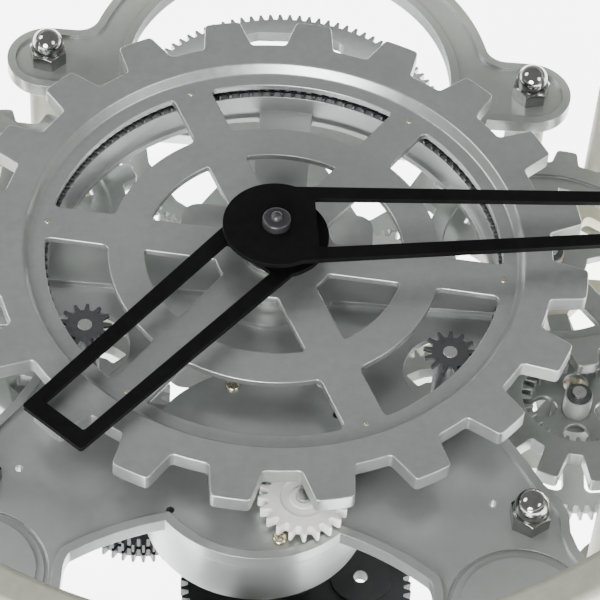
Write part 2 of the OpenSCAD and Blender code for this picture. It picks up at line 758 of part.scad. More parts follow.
// Main gear
spoke_w = 11.7;
rivet_inset = 0.3;
mid_out_share = 0.7246;
mid_in_share = 0.5646;
outer_window_r = main_r - rivet_inset;
mid_ring_out_r = mid_out_share * main_r;
mid_ring_in_r = mid_in_share * main_r;
hub_r = 17.2;
rim_step_band = 5.85;
rim_step_r = main_r + rim_step_band;
rim_step_slope = 1.85;
rim_step_in_r = rim_step_r - rim_step_slope;
window_corner = 2;
root_half_deg = 5.25;
tip_half_deg = 3.4;
main_turn = -4.1;
post_r = 6.5;
post_flange_r = 12;
post_flange_h = 2;
hub_play = 0.2;
hub_bush_r = 9;
hub_bush_z = beam_top + post_flange_h + hub_play;
hub_bush_proud = 1;
hub_bush_top = disc_z + disc_t + hub_bush_proud;
hub_flange_w = 4;
rivet_r = 0.85;
rivet_h = 0.25;
step_h = 0.1;

module main_gear() {
    color([0.52, 0.55, 0.55]) rotate(main_turn) difference() {
        union() {
            translate([0, 0, coarse_z]) linear_extrude(coarse_t) union() {
                circle(r = coarse_root_r);
                teeth_2d(coarse_teeth, coarse_root_r - root_overlap, coarse_tip_r, root_half_deg, tip_half_deg, 0);
            }
            translate([0, 0, disc_z]) cylinder(r = rim_step_r, h = disc_t);
        }
        translate([0, 0, disc_z + disc_t]) cylinder(r1 = rim_step_in_r, r2 = rim_step_r,
            h = coarse_z + coarse_t - disc_z - disc_t);
        translate([0, 0, coarse_z + coarse_t - step_h]) cylinder(r = rim_step_r, h = coarse_t);
        translate([0, 0, disc_z - cut]) linear_extrude(disc_t + 2 * cut) {
            spoke_windows_2d(6, outer_window_r, mid_ring_out_r, spoke_w, window_corner, 0);
            spoke_windows_2d(6, mid_ring_in_r, hub_r, spoke_w, window_corner / 2, 0);
        }
        translate([0, 0, disc_z - cut]) cylinder(r = hub_bush_r, h = coarse_t + 2 * cut);
        for (a = [0 : 60 : 300]) rotate(a) translate([main_r, 0, disc_z - cut])
            cylinder(r = rivet_r, h = disc_t + 2 * cut, $fn = 32);
    }
}

module main_hub_bush() {
    color([0.80, 0.66, 0.36]) translate([0, 0, hub_bush_z]) difference() {
        union() {
            cylinder(r = hub_bush_r, h = hub_bush_top - hub_bush_z);
            cylinder(r = hub_bush_r + hub_flange_w, h = disc_z - hub_bush_z);
        }
        translate([0, 0, -cut]) cylinder(r = post_r + fit, h = hub_bush_top - hub_bush_z + 2 * cut);
    }
}

module main_rivets() {
    color([0.85, 0.85, 0.84]) rotate(main_turn) for (a = [0 : 60 : 300]) rotate(a)
        translate([main_r, 0, ring_web_z]) cylinder(r = rivet_r, h = disc_z + disc_t + rivet_h - ring_web_z, $fn = 32);
}

// toothed ring under the disc: inward teeth for the small pinions, outward teeth for the white one
ring_play = 0.45;
web_drop = 0.7;
ring_plate_z = collar_top + ring_play;
ring_web_z = disc_z - web_drop;
rivet_lug_r = 2.4;
ring_relief = 0.2;
skirt_play = 1.2;
skirt_side_play = 0.5;
skirt_z = plate_top + skirt_play;
skirt_in_r = collar_out_r + skirt_side_play;
module drive_ring() {
    color([0.30, 0.31, 0.31]) difference() {
        translate([0, 0, skirt_z]) linear_extrude(disc_z - skirt_z)
            fine_teeth_2d(ring_outer_teeth, drive_module, ring_phase);
        translate([0, 0, skirt_z - cut]) cylinder(r = skirt_in_r, h = ring_plate_z - skirt_z + cut);
        translate([0, 0, ring_plate_z - cut / 2]) linear_extrude(ring_web_z - ring_plate_z + cut / 2)
            inner_teeth_2d(ring_inner_teeth, fine_module, ring_phase);
        translate([0, 0, ring_web_z]) linear_extrude(disc_z - ring_web_z + cut) difference() {
            circle(r = ring_inner_pitch_r + dedendum_share * fine_module + ring_relief);
            rotate(main_turn) for (a = [0 : 60 : 300]) rotate(a) translate([main_r, 0]) circle(r = rivet_lug_r);
        }
        rotate(main_turn) for (a = [0 : 60 : 300]) rotate(a) translate([main_r, 0, ring_web_z])
            cylinder(r = rivet_r, h = disc_z, $fn = 32);
    }
}

// Side train: one set on each side
small_stud_drop = 0.9;
side_stud_proud = 2;
stud_proud = 1.5;
idler_stud_proud = 1.2;
stud_tops = [disc_z - small_stud_drop, side_z + side_t + side_stud_proud, lower_z + lower_t + stud_proud,
             wheel_top + idler_stud_proud, second_z + fine_t + stud_proud];

module stud(at, top) {
    translate([at[0], at[1], back_z]) cylinder(r = stud_r, h = top - back_z, $fn = 48);
}

module gear_studs() {
    color([0.72, 0.72, 0.70]) {
        for (x = [-1, 1]) {
            stud([x * small_at[0], small_at[1]], stud_tops[0]);
            stud([x * side_at[0], side_at[1]], stud_tops[1]);
            stud([x * lower_at[0], lower_at[1]], stud_tops[2]);
            stud([x * idler_at[0], idler_at[1]], stud_tops[3]);
        }
        stud(top_at, stud_tops[4]);
        stud(reduction_at, plate_z + floor_t);
    }
}

small_drop = 0.1;
small_z = ring_plate_z - small_drop;
small_top = ring_web_z - gap;
slots_r = 17;
slot_len = 5;
slot_bar = 4;
slot_round = 0.5;
module small_pinion_body() {
    difference() {
        union() {
            translate([0, 0, small_z]) linear_extrude(small_top - small_z)
                fine_teeth_2d(small_teeth, fine_module, small_phase);
            translate([0, 0, wheel_top]) cylinder(r = stud_r + hub_wall, h = small_z - wheel_top);
        }
        translate([0, 0, wheel_top - cut]) cylinder(r = stud_r + fit, h = disc_z - wheel_top + cut, $fn = 48);
    }
}

module slotted_wheel_body() {
    difference() {
        union() {
            translate([0, 0, wheel_z]) linear_extrude(fine_t)
                fine_teeth_2d(slotted_teeth, fine_module, slotted_phase);
            translate([0, 0, second_z]) linear_extrude(fine_t + overlap)
                fine_teeth_2d(second_teeth, fine_module, slotted_phase);
            translate([0, 0, back_top + gap]) cylinder(r = stud_r + hub_wall, h = second_z - back_top);
        }
        translate([0, 0, back_top - cut]) cylinder(r = stud_r + fit, h = wheel_top, $fn = 48);
        translate([0, 0, wheel_z - cut]) linear_extrude(fine_t + 2 * cut)
            spoke_windows_2d(8, slots_r, slots_r - slot_len, slot_bar, slot_round, 0);
    }
}

side_tip_share = 0.6446;
side_tooth_h = 5.1;
side_groove_band = 5.1;
side_tip_r = side_tip_share * main_r;
side_root_r = side_tip_r - side_tooth_h;
side_groove_r = side_root_r - side_groove_band;
side_root_half = 6.35;
side_tip_half = 4.1;
side_turn = 82.7;
side_window_turn = 20;
side_spoke_w = 7;
side_hub_r = 11;
side_count = 16;
side_face = 1.2;
side_window_band = 4;
module side_gear_body() {
    difference() {
        union() {
            translate([0, 0, side_z]) linear_extrude(side_t) union() {
                circle(r = side_root_r);
                teeth_2d(side_count, side_root_r - root_overlap, side_tip_r, side_root_half, side_tip_half, side_turn);
            }
        }
        translate([0, 0, side_z + side_t - side_face]) cylinder(r = side_groove_r, h = side_t);
        translate([0, 0, side_z - cut]) linear_extrude(side_t + 2 * cut)
            spoke_windows_2d(5, side_groove_r - side_window_band, side_hub_r, side_spoke_w, window_corner,
                side_window_turn);
        translate([0, 0, side_z - cut]) cylinder(r = stud_r + hub_wall, h = side_t + 2 * cut, $fn = 48);
    }
}

hub_rise = 1;
wheel_band = 5;
wheel_spoke_w = 6;
wheel_corner = 2;
side_wheel_hub_r = 12;
side_step_share = 3;
module side_wheel_body() {
    difference() {
        union() {
            translate([0, 0, wheel_z]) linear_extrude(fine_t)
                fine_teeth_2d(side_teeth, fine_module, side_phase);
            translate([0, 0, back_top + gap])
                cylinder(r = stud_r + hub_wall, h = side_z + side_t + hub_rise - back_top - gap);
            translate([0, 0, wheel_z]) cylinder(r = stud_r + side_step_share * hub_wall, h = side_z - wheel_z);
        }
        translate([0, 0, back_top - cut]) cylinder(r = stud_r + fit, h = side_z + side_t, $fn = 48);
        translate([0, 0, wheel_z - cut]) linear_extrude(fine_t + 2 * cut)
            spoke_windows_2d(5, pitch_r(side_teeth, fine_module) - wheel_band, side_wheel_hub_r, wheel_spoke_w,
                wheel_corner, 0);
    }
}

lower_tip_share = 0.46;
lower_tooth_h = 8.8;
lower_wall = 2.4;
lower_tip_r = lower_tip_share * main_r;
lower_root_r = lower_tip_r - lower_tooth_h;
lower_drum_band = 2.5;
lower_drum_r = lower_root_r - lower_drum_band;
lower_bore_r = lower_drum_r - lower_wall;
lower_count = 12;
lower_root_half = 9;
lower_tip_half = 6;
lower_turn = 12;
lower_hole_at = 9;
lower_hole_r = 3.6;
lower_web_t = 2;
lower_drum_z = wheel_top + level_gap;
lower_drum_drop = 1.5;
rib_drop = 2.5;
rib_count = 28;
rib_depth = 2.2;
rib_w = 1.3;
module lower_gear_body() {
    difference() {
        union() {
            translate([0, 0, lower_z]) linear_extrude(lower_t) difference() {
                union() {
                    circle(r = lower_root_r);
                    teeth_2d(lower_count, lower_root_r - root_overlap, lower_tip_r, lower_root_half,
                        lower_tip_half, lower_turn);
                }
                circle(r = lower_bore_r);
            }
            translate([0, 0, lower_drum_z])
                tube(lower_drum_r, lower_bore_r, lower_z + lower_t - lower_drum_z - lower_drum_drop);
            translate([0, 0, lower_drum_z]) cylinder(r = lower_drum_r, h = lower_web_t);
            for (i = [0 : rib_count - 1]) rotate(i * 360 / rib_count)
                translate([lower_bore_r - rib_depth, -rib_w / 2, lower_drum_z])
                    cube([rib_depth + overlap, rib_w, lower_z + lower_t - lower_drum_z - rib_drop]);
        }
        translate([0, 0, lower_drum_z - cut]) {
            cylinder(r = stud_r + hub_wall, h = lower_web_t + 2 * cut, $fn = 48);
            for (a = [0 : 90 : 270]) rotate(a) translate([lower_hole_at, 0, 0])
                cylinder(r = lower_hole_r, h = lower_web_t + 2 * cut);
        }
    }
}

lower_wheel_hub_r = 11;
lower_step_share = 2.5;
module lower_wheel_body() {
    difference() {
        union() {
            translate([0, 0, second_z]) linear_extrude(fine_t)
                fine_teeth_2d(lower_teeth, fine_module, lower_phase);
            translate([0, 0, back_top + gap])
                cylinder(r = stud_r + hub_wall, h = lower_z + lower_t - back_top - gap);
            translate([0, 0, second_z])
                cylinder(r = stud_r + lower_step_share * hub_wall, h = lower_drum_z - second_z);
        }
        translate([0, 0, back_top - cut]) cylinder(r = stud_r + fit, h = lower_z + lower_t, $fn = 48);
        translate([0, 0, second_z - cut]) linear_extrude(fine_t + 2 * cut)
            spoke_windows_2d(4, pitch_r(lower_teeth, fine_module) - wheel_band, lower_wheel_hub_r, wheel_spoke_w,
                wheel_corner, 0);
    }
}

idler_core_share = 0.7;
module idler_body() {
    difference() {
        union() {
            translate([0, 0, wheel_z]) linear_extrude(fine_t)
                fine_teeth_2d(idler_teeth, fine_module, idler_phase);
            translate([0, 0, second_z]) linear_extrude(fine_t)
                fine_teeth_2d(idler_teeth, fine_module, idler_low_phase);
            translate([0, 0, second_z])
                cylinder(r = pitch_r(idler_teeth, fine_module) * idler_core_share, h = wheel_z - second_z + overlap);
            translate([0, 0, back_top + gap]) cylinder(r = stud_r + hub_wall, h = second_z - back_top);
        }
        translate([0, 0, back_top - cut]) cylinder(r = stud_r + fit, h = wheel_top, $fn = 48);
    }
}

module place(at, side) {
    if (side < 0) mirror([1, 0, 0]) translate([at[0], at[1], 0]) children();
    else translate([at[0], at[1], 0]) children();
}

module left_small_pinion() { color([0.12, 0.12, 0.13]) place(small_at, -1) small_pinion_body(); }
module right_small_pinion() { color([0.12, 0.12, 0.13]) place(small_at, 1) small_pinion_body(); }
module left_slotted_wheel() { color([0.62, 0.63, 0.62]) place(small_at, -1) slotted_wheel_body(); }
module right_slotted_wheel() { color([0.62, 0.63, 0.62]) place(small_at, 1) slotted_wheel_body(); }
module left_side_gear() { color([0.52, 0.55, 0.55]) place(side_at, -1) side_gear_body(); }
module right_side_gear() { color([0.52, 0.55, 0.55]) place(side_at, 1) side_gear_body(); }
module left_side_wheel() { color([0.82, 0.81, 0.74]) place(side_at, -1) side_wheel_body(); }
module right_side_wheel() { color([0.82, 0.81, 0.74]) place(side_at, 1) side_wheel_body(); }
module left_lower_gear() { color([0.52, 0.55, 0.55]) place(lower_at, -1) lower_gear_body(); }
module right_lower_gear() { color([0.52, 0.55, 0.55]) place(lower_at, 1) lower_gear_body(); }
module left_lower_wheel() { color([0.45, 0.46, 0.46]) place(lower_at, -1) lower_wheel_body(); }
module right_lower_wheel() { color([0.45, 0.46, 0.46]) place(lower_at, 1) lower_wheel_body(); }
module left_idler() { color([0.93, 0.93, 0.91]) place(idler_at, -1) idler_body(); }
module right_idler() { color([0.93, 0.93, 0.91]) place(idler_at, 1) idler_body(); }

top_band = 6.5;
top_hub_r = 16;
top_spoke_w = 9;
top_corner = 3;
module top_gear() {
    color([0.56, 0.58, 0.58]) translate([top_at[0], top_at[1], 0]) difference() {
        union() {
            translate([0, 0, second_z]) linear_extrude(fine_t)
                fine_teeth_2d(top_teeth, fine_module, top_phase);
            translate([0, 0, back_top + gap])
                cylinder(r = stud_r + hub_wall, h = second_z + fine_t + hub_rise - back_top - gap);
        }
        translate([0, 0, back_top - cut]) cylinder(r = stud_r + fit, h = second_z + fine_t, $fn = 48);
        translate([0, 0, second_z - cut]) linear_extrude(fine_t + 2 * cut)
            spoke_windows_2d(6, pitch_r(top_teeth, fine_module) - top_band, top_hub_r, top_spoke_w, top_corner, 0);
    }
}

clip_r = 3.6;
clip_t = 0.6;
clip_play = 0.1;
module clip(at, z) {
    translate([at[0], at[1], z + clip_play]) tube(clip_r, stud_r, clip_t);
}

module stud_clips() {
    color([0.30, 0.30, 0.30]) {
        for (x = [-1, 1]) {
            clip([x * side_at[0], side_at[1]], side_z + side_t + hub_rise);
            clip([x * lower_at[0], lower_at[1]], lower_z + lower_t);
            clip([x * idler_at[0], idler_at[1]], wheel_top);
        }
        clip(top_at, second_z + fine_t + hub_rise);
        clip(reduction_at, reduction_z + dark_t + reduction_hub_rise);
    }
}

// Clock movement and hands
movement_h = 15.8;
movement_z = plate_z - movement_h;
movement_bush_r = 4;
movement_round = 5;
tube_r = 2.6;
tube_bore = 1.7;
arbor_r = tube_bore - fit;
cell_r = 7.1;
cell_len = 49.5;
cell_y = -17.5;
cell_room = 0.4;
cell_z = movement_z + cell_r + cell_room;
nub_share = 0.36;
nub_h = 1;
post_proud = 0.4;
bush_proud = 2.6;
post_top = hub_bush_top + post_proud;
bush_top = post_top + bush_proud;
knob_at = [14, 13];
knob_r = 6.5;
knob_h = 3;
knob_grip_share = 0.07;
knob_shaft_h = 4;
knob_bore_h = 5;
tube_bore_h = 6;
contact_room = 1;

module movement_case() {
    color([0.10, 0.10, 0.10]) difference() {
        translate([0, 0, movement_z]) linear_extrude(plate_z - movement_z) difference() {
            square([movement_w, movement_w], center = true);
            for (x = [-1, 1]) for (y = [-1, 1]) scale([x, y])
                translate([movement_w / 2 - movement_round, movement_w / 2 - movement_round]) difference() {
                    square([2 * movement_round, 2 * movement_round]);
                    circle(r = movement_round);
                }
        }
        translate([0, 0, plate_z - tube_bore_h]) cylinder(r = tube_r + fit, h = tube_bore_h + cut);
        translate([-cell_len / 2 - cell_room - contact_room, cell_y - cell_r - cell_room, movement_z - cut])
            cube([cell_len + 2 * (cell_room + contact_room), 2 * (cell_r + cell_room), 2 * cell_r + cell_room + cut]);
        translate([knob_at[0], knob_at[1], movement_z - cut])
            cylinder(r = stud_r + fit, h = knob_bore_h + cut, $fn = 48);
    }
}

module movement_bush() {
    color([0.80, 0.66, 0.36]) translate([0, 0, plate_z]) tube(movement_bush_r, tube_r + fit, bush_top - plate_z);
}

module centre_post() {
    color([0.72, 0.72, 0.70]) translate([0, 0, beam_top]) difference() {
        union() {
            cylinder(r = post_flange_r, h = post_flange_h);
            cylinder(r = post_r, h = post_top - beam_top);
        }
        translate([0, 0, -cut]) cylinder(r = movement_bush_r, h = post_top - beam_top + 2 * cut);
    }
}

washer_r = 8.5;
washer_t = 0.6;
nut_r = 7;
movement_nut_h = 2.4;
module movement_nut() {
    color([0.80, 0.66, 0.36]) difference() {
        union() {
            translate([0, 0, post_top]) cylinder(r = washer_r, h = washer_t);
            translate([0, 0, post_top]) cylinder(r = nut_r, h = movement_nut_h, $fn = 6);
        }
        translate([0, 0, post_top - cut]) cylinder(r = movement_bush_r, h = movement_nut_h + 2 * cut);
    }
}

module movement_cell() {
    color([0.25, 0.27, 0.30]) translate([-cell_len / 2, cell_y, cell_z]) rotate([0, 90, 0]) {
        cylinder(r = cell_r, h = cell_len);
        translate([0, 0, cell_len]) cylinder(r = cell_r * nub_share, h = nub_h);
    }
}

module set_knob() {
    color([0.15, 0.15, 0.15]) translate([knob_at[0], knob_at[1], 0]) {
        difference() {
            translate([0, 0, movement_z - gap - knob_h]) cylinder(r = knob_r, h = knob_h);
            for (a = [0 : 20 : 340]) rotate(a) translate([knob_r, 0, movement_z - gap - knob_h - cut])
                cylinder(r = knob_r * knob_grip_share, h = knob_h + 2 * cut, $fn = 16);
        }
        translate([0, 0, movement_z - gap - cut / 2]) cylinder(r = stud_r, h = knob_shaft_h, $fn = 48);
    }
}

tube_foot = 5;
tube_proud = 0.8;
module hour_tube() {
    color([0.75, 0.75, 0.73]) translate([0, 0, plate_z - tube_foot])
        tube(tube_r, tube_bore, hour_z + hand_t + tube_proud - plate_z + tube_foot);
}

hand_hub_r = 15;
hour_tip_half = 10.7;
hour_hub_half = 13;
rail = 4.9;
slot_start = 11.4;
minute_hub_half = 13;
minute_tip_half = 4.6;

// a skeleton hand: a round hub, two straight rails and a flat tip
slot_tip_share = 0.75;
module hand_2d(length, hub_half, tip_half) {
    difference() {
        union() {
            circle(r = hand_hub_r);
            polygon([[0, -hub_half], [length, -tip_half], [length, tip_half], [0, hub_half]]);
        }
        polygon([[slot_start, -hub_half + rail], [length - rail, -tip_half + rail * slot_tip_share],
                 [length - rail, tip_half - rail * slot_tip_share], [slot_start, hub_half - rail]]);
    }
}

module hour_hand() {
    color([0.05, 0.05, 0.05]) translate([0, 0, hour_z]) rotate(90 - hour_angle) difference() {
        linear_extrude(hand_t) hand_2d(hour_len, hour_hub_half, hour_tip_half);
        translate([0, 0, -cut]) cylinder(r = tube_r, h = hand_t + 2 * cut);
    }
}

module minute_hand() {
    color([0.05, 0.05, 0.05]) translate([0, 0, minute_z]) rotate(90 - minute_angle) difference() {
        linear_extrude(hand_t) hand_2d(minute_len, minute_hub_half, minute_tip_half);
        translate([0, 0, -cut]) cylinder(r = arbor_r, h = hand_t + 2 * cut);
    }
}

minute_proud = 2;
module minute_arbor() {
    color([0.75, 0.75, 0.73]) translate([0, 0, plate_z - tube_foot])
        cylinder(r = arbor_r, h = minute_z + hand_t + minute_proud - plate_z + tube_foot, $fn = 48);
}

cap_r = 4;
cap_dome_r = 1.75;
cap_h = 2.6;
module cap_nut() {
    color([0.20, 0.20, 0.21]) translate([0, 0, minute_z + hand_t]) difference() {
        union() {
            cylinder(r = cap_r, h = cap_h);
            translate([0, 0, cap_h]) sphere(r = cap_dome_r, $fn = 48);
        }
        translate([0, 0, -cut]) cylinder(r = arbor_r, h = minute_proud + cut, $fn = 48);
    }
}

// Motor's battery box
box_wall = 1.6;
cell_end_room = 2.65;
motor_cell_len = battery_w - 2 * (box_wall + cell_end_room);
lid_t = 1.4;
grip_l = 16;
grip_w = 0.8;
grip_pitch = 2;
module battery_box() {
    color([0.12, 0.12, 0.12]) difference() {
        union() {
            translate([-battery_w / 2, battery_y, back_z]) cube([battery_w, battery_d, battery_h]);
            translate([-battery_w / 2 - battery_flange, battery_y - battery_flange, back_top])
                cube([battery_w + 2 * battery_flange, battery_d + 2 * battery_flange, battery_flange_t]);
        }
        translate([-battery_w / 2 + box_wall, battery_y + box_wall, back_z - cut])
            cube([battery_w - 2 * box_wall, battery_d - 2 * box_wall, battery_h - box_wall + cut]);
    }
}

module battery_lid() {
    color([0.14, 0.14, 0.14]) translate([-battery_w / 2, battery_y, back_z - lid_t]) difference() {
        cube([battery_w, battery_d, lid_t]);
        for (i = [-2 : 2]) translate([battery_w / 2 - grip_l / 2, battery_d / 2 + i * grip_pitch, -cut])
            cube([grip_l, grip_w, cut + lid_t / 3]);
    }
}

// two cells side by side, one above the other when the clock hangs
module motor_cells() {
    color([0.25, 0.27, 0.30]) for (i = [0, 1])
        translate([-motor_cell_len / 2, battery_y + battery_d / 2, back_z + box_wall + cell_r + i * (2 * cell_r + gap)])
            rotate([0, 90, 0]) {
                cylinder(r = cell_r, h = motor_cell_len);
                translate([0, 0, motor_cell_len]) cylinder(r = cell_r * nub_share, h = nub_h);
            }
}

rim();
rim_posts();
rim_brackets();
rim_screws();
back_plate();
wall_pads();
pillars();
tie_rods();
dome_nuts();
bridge_plate();
motor_bracket();
motor_screws();
motor();
motor_pinion();
reduction_gear();
output_wheel();
output_arbor();
output_bush();
drive_pinion();
main_gear();
main_hub_bush();
main_rivets();
drive_ring();
gear_studs();
stud_clips();
left_small_pinion();
right_small_pinion();
left_slotted_wheel();
right_slotted_wheel();
left_side_gear();
right_side_gear();
left_side_wheel();
right_side_wheel();
left_lower_gear();
right_lower_gear();
left_lower_wheel();
right_lower_wheel();
left_idler();
right_idler();
top_gear();
movement_case();
movement_bush();
centre_post();
movement_nut();
movement_cell();
set_knob();
hour_tube();
hour_hand();
minute_arbor();
minute_hand();
cap_nut();
battery_box();
battery_lid();
motor_cells();
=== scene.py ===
"""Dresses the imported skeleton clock: modelled pieces, finishes, floor, light and camera."""

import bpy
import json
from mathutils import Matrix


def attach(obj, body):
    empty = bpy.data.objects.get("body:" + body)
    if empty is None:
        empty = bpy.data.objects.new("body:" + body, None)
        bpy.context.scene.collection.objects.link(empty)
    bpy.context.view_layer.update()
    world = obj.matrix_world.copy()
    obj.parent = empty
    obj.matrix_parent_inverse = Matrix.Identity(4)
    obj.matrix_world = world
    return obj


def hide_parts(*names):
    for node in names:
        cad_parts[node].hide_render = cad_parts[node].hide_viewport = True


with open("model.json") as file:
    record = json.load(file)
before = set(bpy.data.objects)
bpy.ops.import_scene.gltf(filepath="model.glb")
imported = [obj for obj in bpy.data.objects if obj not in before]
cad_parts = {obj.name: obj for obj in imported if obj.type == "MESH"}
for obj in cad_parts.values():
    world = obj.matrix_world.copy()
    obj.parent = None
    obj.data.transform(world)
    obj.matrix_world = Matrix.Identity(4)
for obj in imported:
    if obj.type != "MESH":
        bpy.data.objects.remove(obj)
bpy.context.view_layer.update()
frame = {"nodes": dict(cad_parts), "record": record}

import json
import logging
import math
from dataclasses import dataclass
from enum import Enum
from typing import Callable, Iterable, Optional, Union

import bmesh
import bpy
from mathutils import Matrix, Vector

log = logging.getLogger("clock")
MM = 0.001
OVER = 1.0   # how far a cutter overruns the face that it opens
Point = tuple[float, float]
Solid = bpy.types.Object


def polar(radius: float, degrees: float) -> Point:
    """The point at a radius and an angle from the middle."""
    turn = math.radians(degrees)
    return radius * math.cos(turn), radius * math.sin(turn)


# Shared modelling steps

class Pick(Enum):
    """What an edit-mode selection holds."""

    POINTS = "VERT"
    EDGES = "EDGE"
    FACES = "FACE"


class Bench:
    """Modelling steps on a piece, as by hand. Sizes are in millimetres."""

    START_R = 10.0        # radius of the ring that a prism's points start from
    CUT_NEAR = 0.008      # points closer than this after a Boolean are one
    PLAIN_NEAR = 0.004    # the same for a piece that is finished without a bevel
    BEVEL_NEAR = 0.02     # the same for a piece that gets one
    BROKEN_ANGLE = 40     # edges that turn by more get the bevel
    SMOOTH_ANGLE = 28     # faces that turn by less are shaded as one
    FLAT_WEIGHT = 60      # how much the large faces rule the shading
    CORNER_ANGLE = 30     # upright edges that turn by more are rounded
    TOP_SKIN = 0.1        # edges within this of a piece's top belong to it

    solver: str = "EXACT"

    @staticmethod
    def clear() -> None:
        """Leaves edit mode and deselects everything."""
        if bpy.context.object and bpy.context.object.mode != "OBJECT":
            bpy.ops.object.mode_set(mode="OBJECT")
        bpy.ops.object.select_all(action="DESELECT")

    @staticmethod
    def take(piece: Solid) -> None:
        """Makes one piece the only selected and active one."""
        Bench.clear()
        piece.select_set(True)
        bpy.context.view_layer.objects.active = piece

    @staticmethod
    def settle(name: str) -> Solid:
        """Names the new primitive and moves its place into its mesh.

        Args:
            name: The piece's name.

        Returns:
            The piece.
        """
        piece = bpy.context.active_object
        piece.name = name
        piece.data.name = name
        bpy.ops.object.transform_apply(location=True, rotation=True, scale=True)
        return piece

    @staticmethod
    def cylinder(name: str, radius: float, low: float, high: float, at: Point = (0, 0),
                 sides: int = 96, top: Optional[float] = None, turn: float = 0) -> Solid:
        """Adds an upright cylinder, or a cone frustum if top is given.

        Args:
            name: The piece's name.
            radius: Radius at the low end.
            low: Height of the low end.
            high: Height of the high end.
            at: Place of its middle.
            sides: Number of sides.
            top: Radius at the high end.
            turn: Turn about its axis in degrees.

        Returns:
            The piece.
        """
        Bench.clear()
        place = (at[0] * MM, at[1] * MM, (low + high) / 2 * MM)
        if top is None:
            bpy.ops.mesh.primitive_cylinder_add(vertices=sides, radius=radius * MM, depth=(high - low) * MM,
                                                location=place, rotation=(0, 0, math.radians(turn)))
        else:
            bpy.ops.mesh.primitive_cone_add(vertices=sides, radius1=radius * MM, radius2=top * MM,
                                            depth=(high - low) * MM, location=place,
                                            rotation=(0, 0, math.radians(turn)))
        return Bench.settle(name)

    @staticmethod
    def ball(name: str, radius: float, at: tuple[float, float, float]) -> Solid:
        """Adds a ball at a place."""
        Bench.clear()
        bpy.ops.mesh.primitive_uv_sphere_add(segments=48, ring_count=24, radius=radius * MM,
                                             location=tuple(c * MM for c in at))
        return Bench.settle(name)

    @staticmethod
    def select(piece: Solid, pick: Pick, test: Callable[[object], bool] = lambda _: True) -> int:
        """Enters edit mode and selects the elements that pass a test.

        Args:
            piece: The piece to edit.
            pick: Which elements are looked at.
            test: Called with each bmesh element. Without it all pass.

        Returns:
            How many were selected.
        """
        if piece.mode != "EDIT":
            Bench.take(piece)
            bpy.ops.object.mode_set(mode="EDIT")
        bpy.ops.mesh.select_mode(type=pick.value)
        bpy.ops.mesh.select_all(action="DESELECT")
        shape = bmesh.from_edit_mesh(piece.data)
        found = 0
        for part in {Pick.POINTS: shape.verts, Pick.EDGES: shape.edges, Pick.FACES: shape.faces}[pick]:
            if test(part):
                part.select_set(True)
                found += 1
        shape.select_flush_mode()
        bmesh.update_edit_mesh(piece.data)
        return found

    @staticmethod
    def done() -> None:
        """Leaves edit mode."""
        bpy.ops.object.mode_set(mode="OBJECT")

    @staticmethod
    def turn(piece: Solid, degrees: float, at: Point = (0, 0)) -> None:
        """Turns a whole piece about an upright axis, anticlockwise seen from above."""
        Bench.select(piece, Pick.POINTS)
        bpy.ops.transform.rotate(value=-math.radians(degrees), orient_axis="Z",
                                 center_override=(at[0] * MM, at[1] * MM, 0))
        Bench.done()

    @staticmethod
    def raise_face(piece: Solid, height: float) -> None:
        """Extrudes a flat outline upwards and makes its faces point out."""
        Bench.select(piece, Pick.FACES)
        bpy.ops.mesh.extrude_region_move(TRANSFORM_OT_translate={"value": (0, 0, height * MM)})
        bpy.ops.mesh.select_all(action="SELECT")
        bpy.ops.mesh.normals_make_consistent(inside=False)
        Bench.done()

    @staticmethod
    def prism(name: str, outline: Iterable[Point], low: float, high: float) -> Solid:
        """Makes an upright prism: a filled ring whose points are moved to the outline, then extruded.

        Args:
            name: The piece's name.
            outline: Corners, anticlockwise.
            low: Height of its low face.
            high: Height of its high face.

        Returns:
            The piece.
        """
        corners = list(outline)
        Bench.clear()
        bpy.ops.mesh.primitive_circle_add(vertices=len(corners), radius=Bench.START_R * MM,
                                          fill_type="NGON", location=(0, 0, low * MM))
        piece = Bench.settle(name)
        starts = [point.co.copy() for point in piece.data.vertices]
        for index, (corner, start) in enumerate(zip(corners, starts)):
            Bench.select(piece, Pick.POINTS, lambda v, index=index: v.index == index)
            bpy.ops.transform.translate(value=(corner[0] * MM - start.x, corner[1] * MM - start.y, 0))
        Bench.done()
        Bench.raise_face(piece, high - low)
        return piece

    @staticmethod
    def combine(piece: Solid, other: Solid, how: str) -> None:
        """Applies a Boolean with another piece, which is used up.

        Args:
            piece: The piece that stays.
            other: The piece that is joined or cut away.
            how: UNION, DIFFERENCE or INTERSECT.
        """
        Bench.take(piece)
        step = piece.modifiers.new("step", "BOOLEAN")
        step.object, step.operation, step.solver = other, how, Bench.solver
        bpy.ops.object.modifier_apply(modifier=step.name)
        bpy.data.objects.remove(other)
        if Bench.solver == "MANIFOLD":
            Bench.split_faces(piece)
        Bench.tidy(piece, Bench.CUT_NEAR)

    @staticmethod
    def split_faces(piece: Solid) -> None:
        """Splits the faces with more than three corners into triangles."""
        Bench.select(piece, Pick.FACES, lambda f: len(f.verts) > 3)
        bpy.ops.mesh.quads_convert_to_tris(quad_method="BEAUTY", ngon_method="BEAUTY")
        Bench.done()

    @staticmethod
    def tidy(piece: Solid, near: float) -> None:
        """Merges points that lie closer together than near."""
        Bench.select(piece, Pick.POINTS)
        bpy.ops.mesh.remove_doubles(threshold=near * MM)
        Bench.done()

    @staticmethod
    def add(piece: Solid, *others: Solid) -> None:
        """Unites other pieces with a piece."""
        for other in others:
            Bench.combine(piece, other, "UNION")

    @staticmethod
    def cut(piece: Solid, *others: Solid) -> None:
        """Cuts other pieces out of a piece."""
        for other in others:
            Bench.combine(piece, other, "DIFFERENCE")

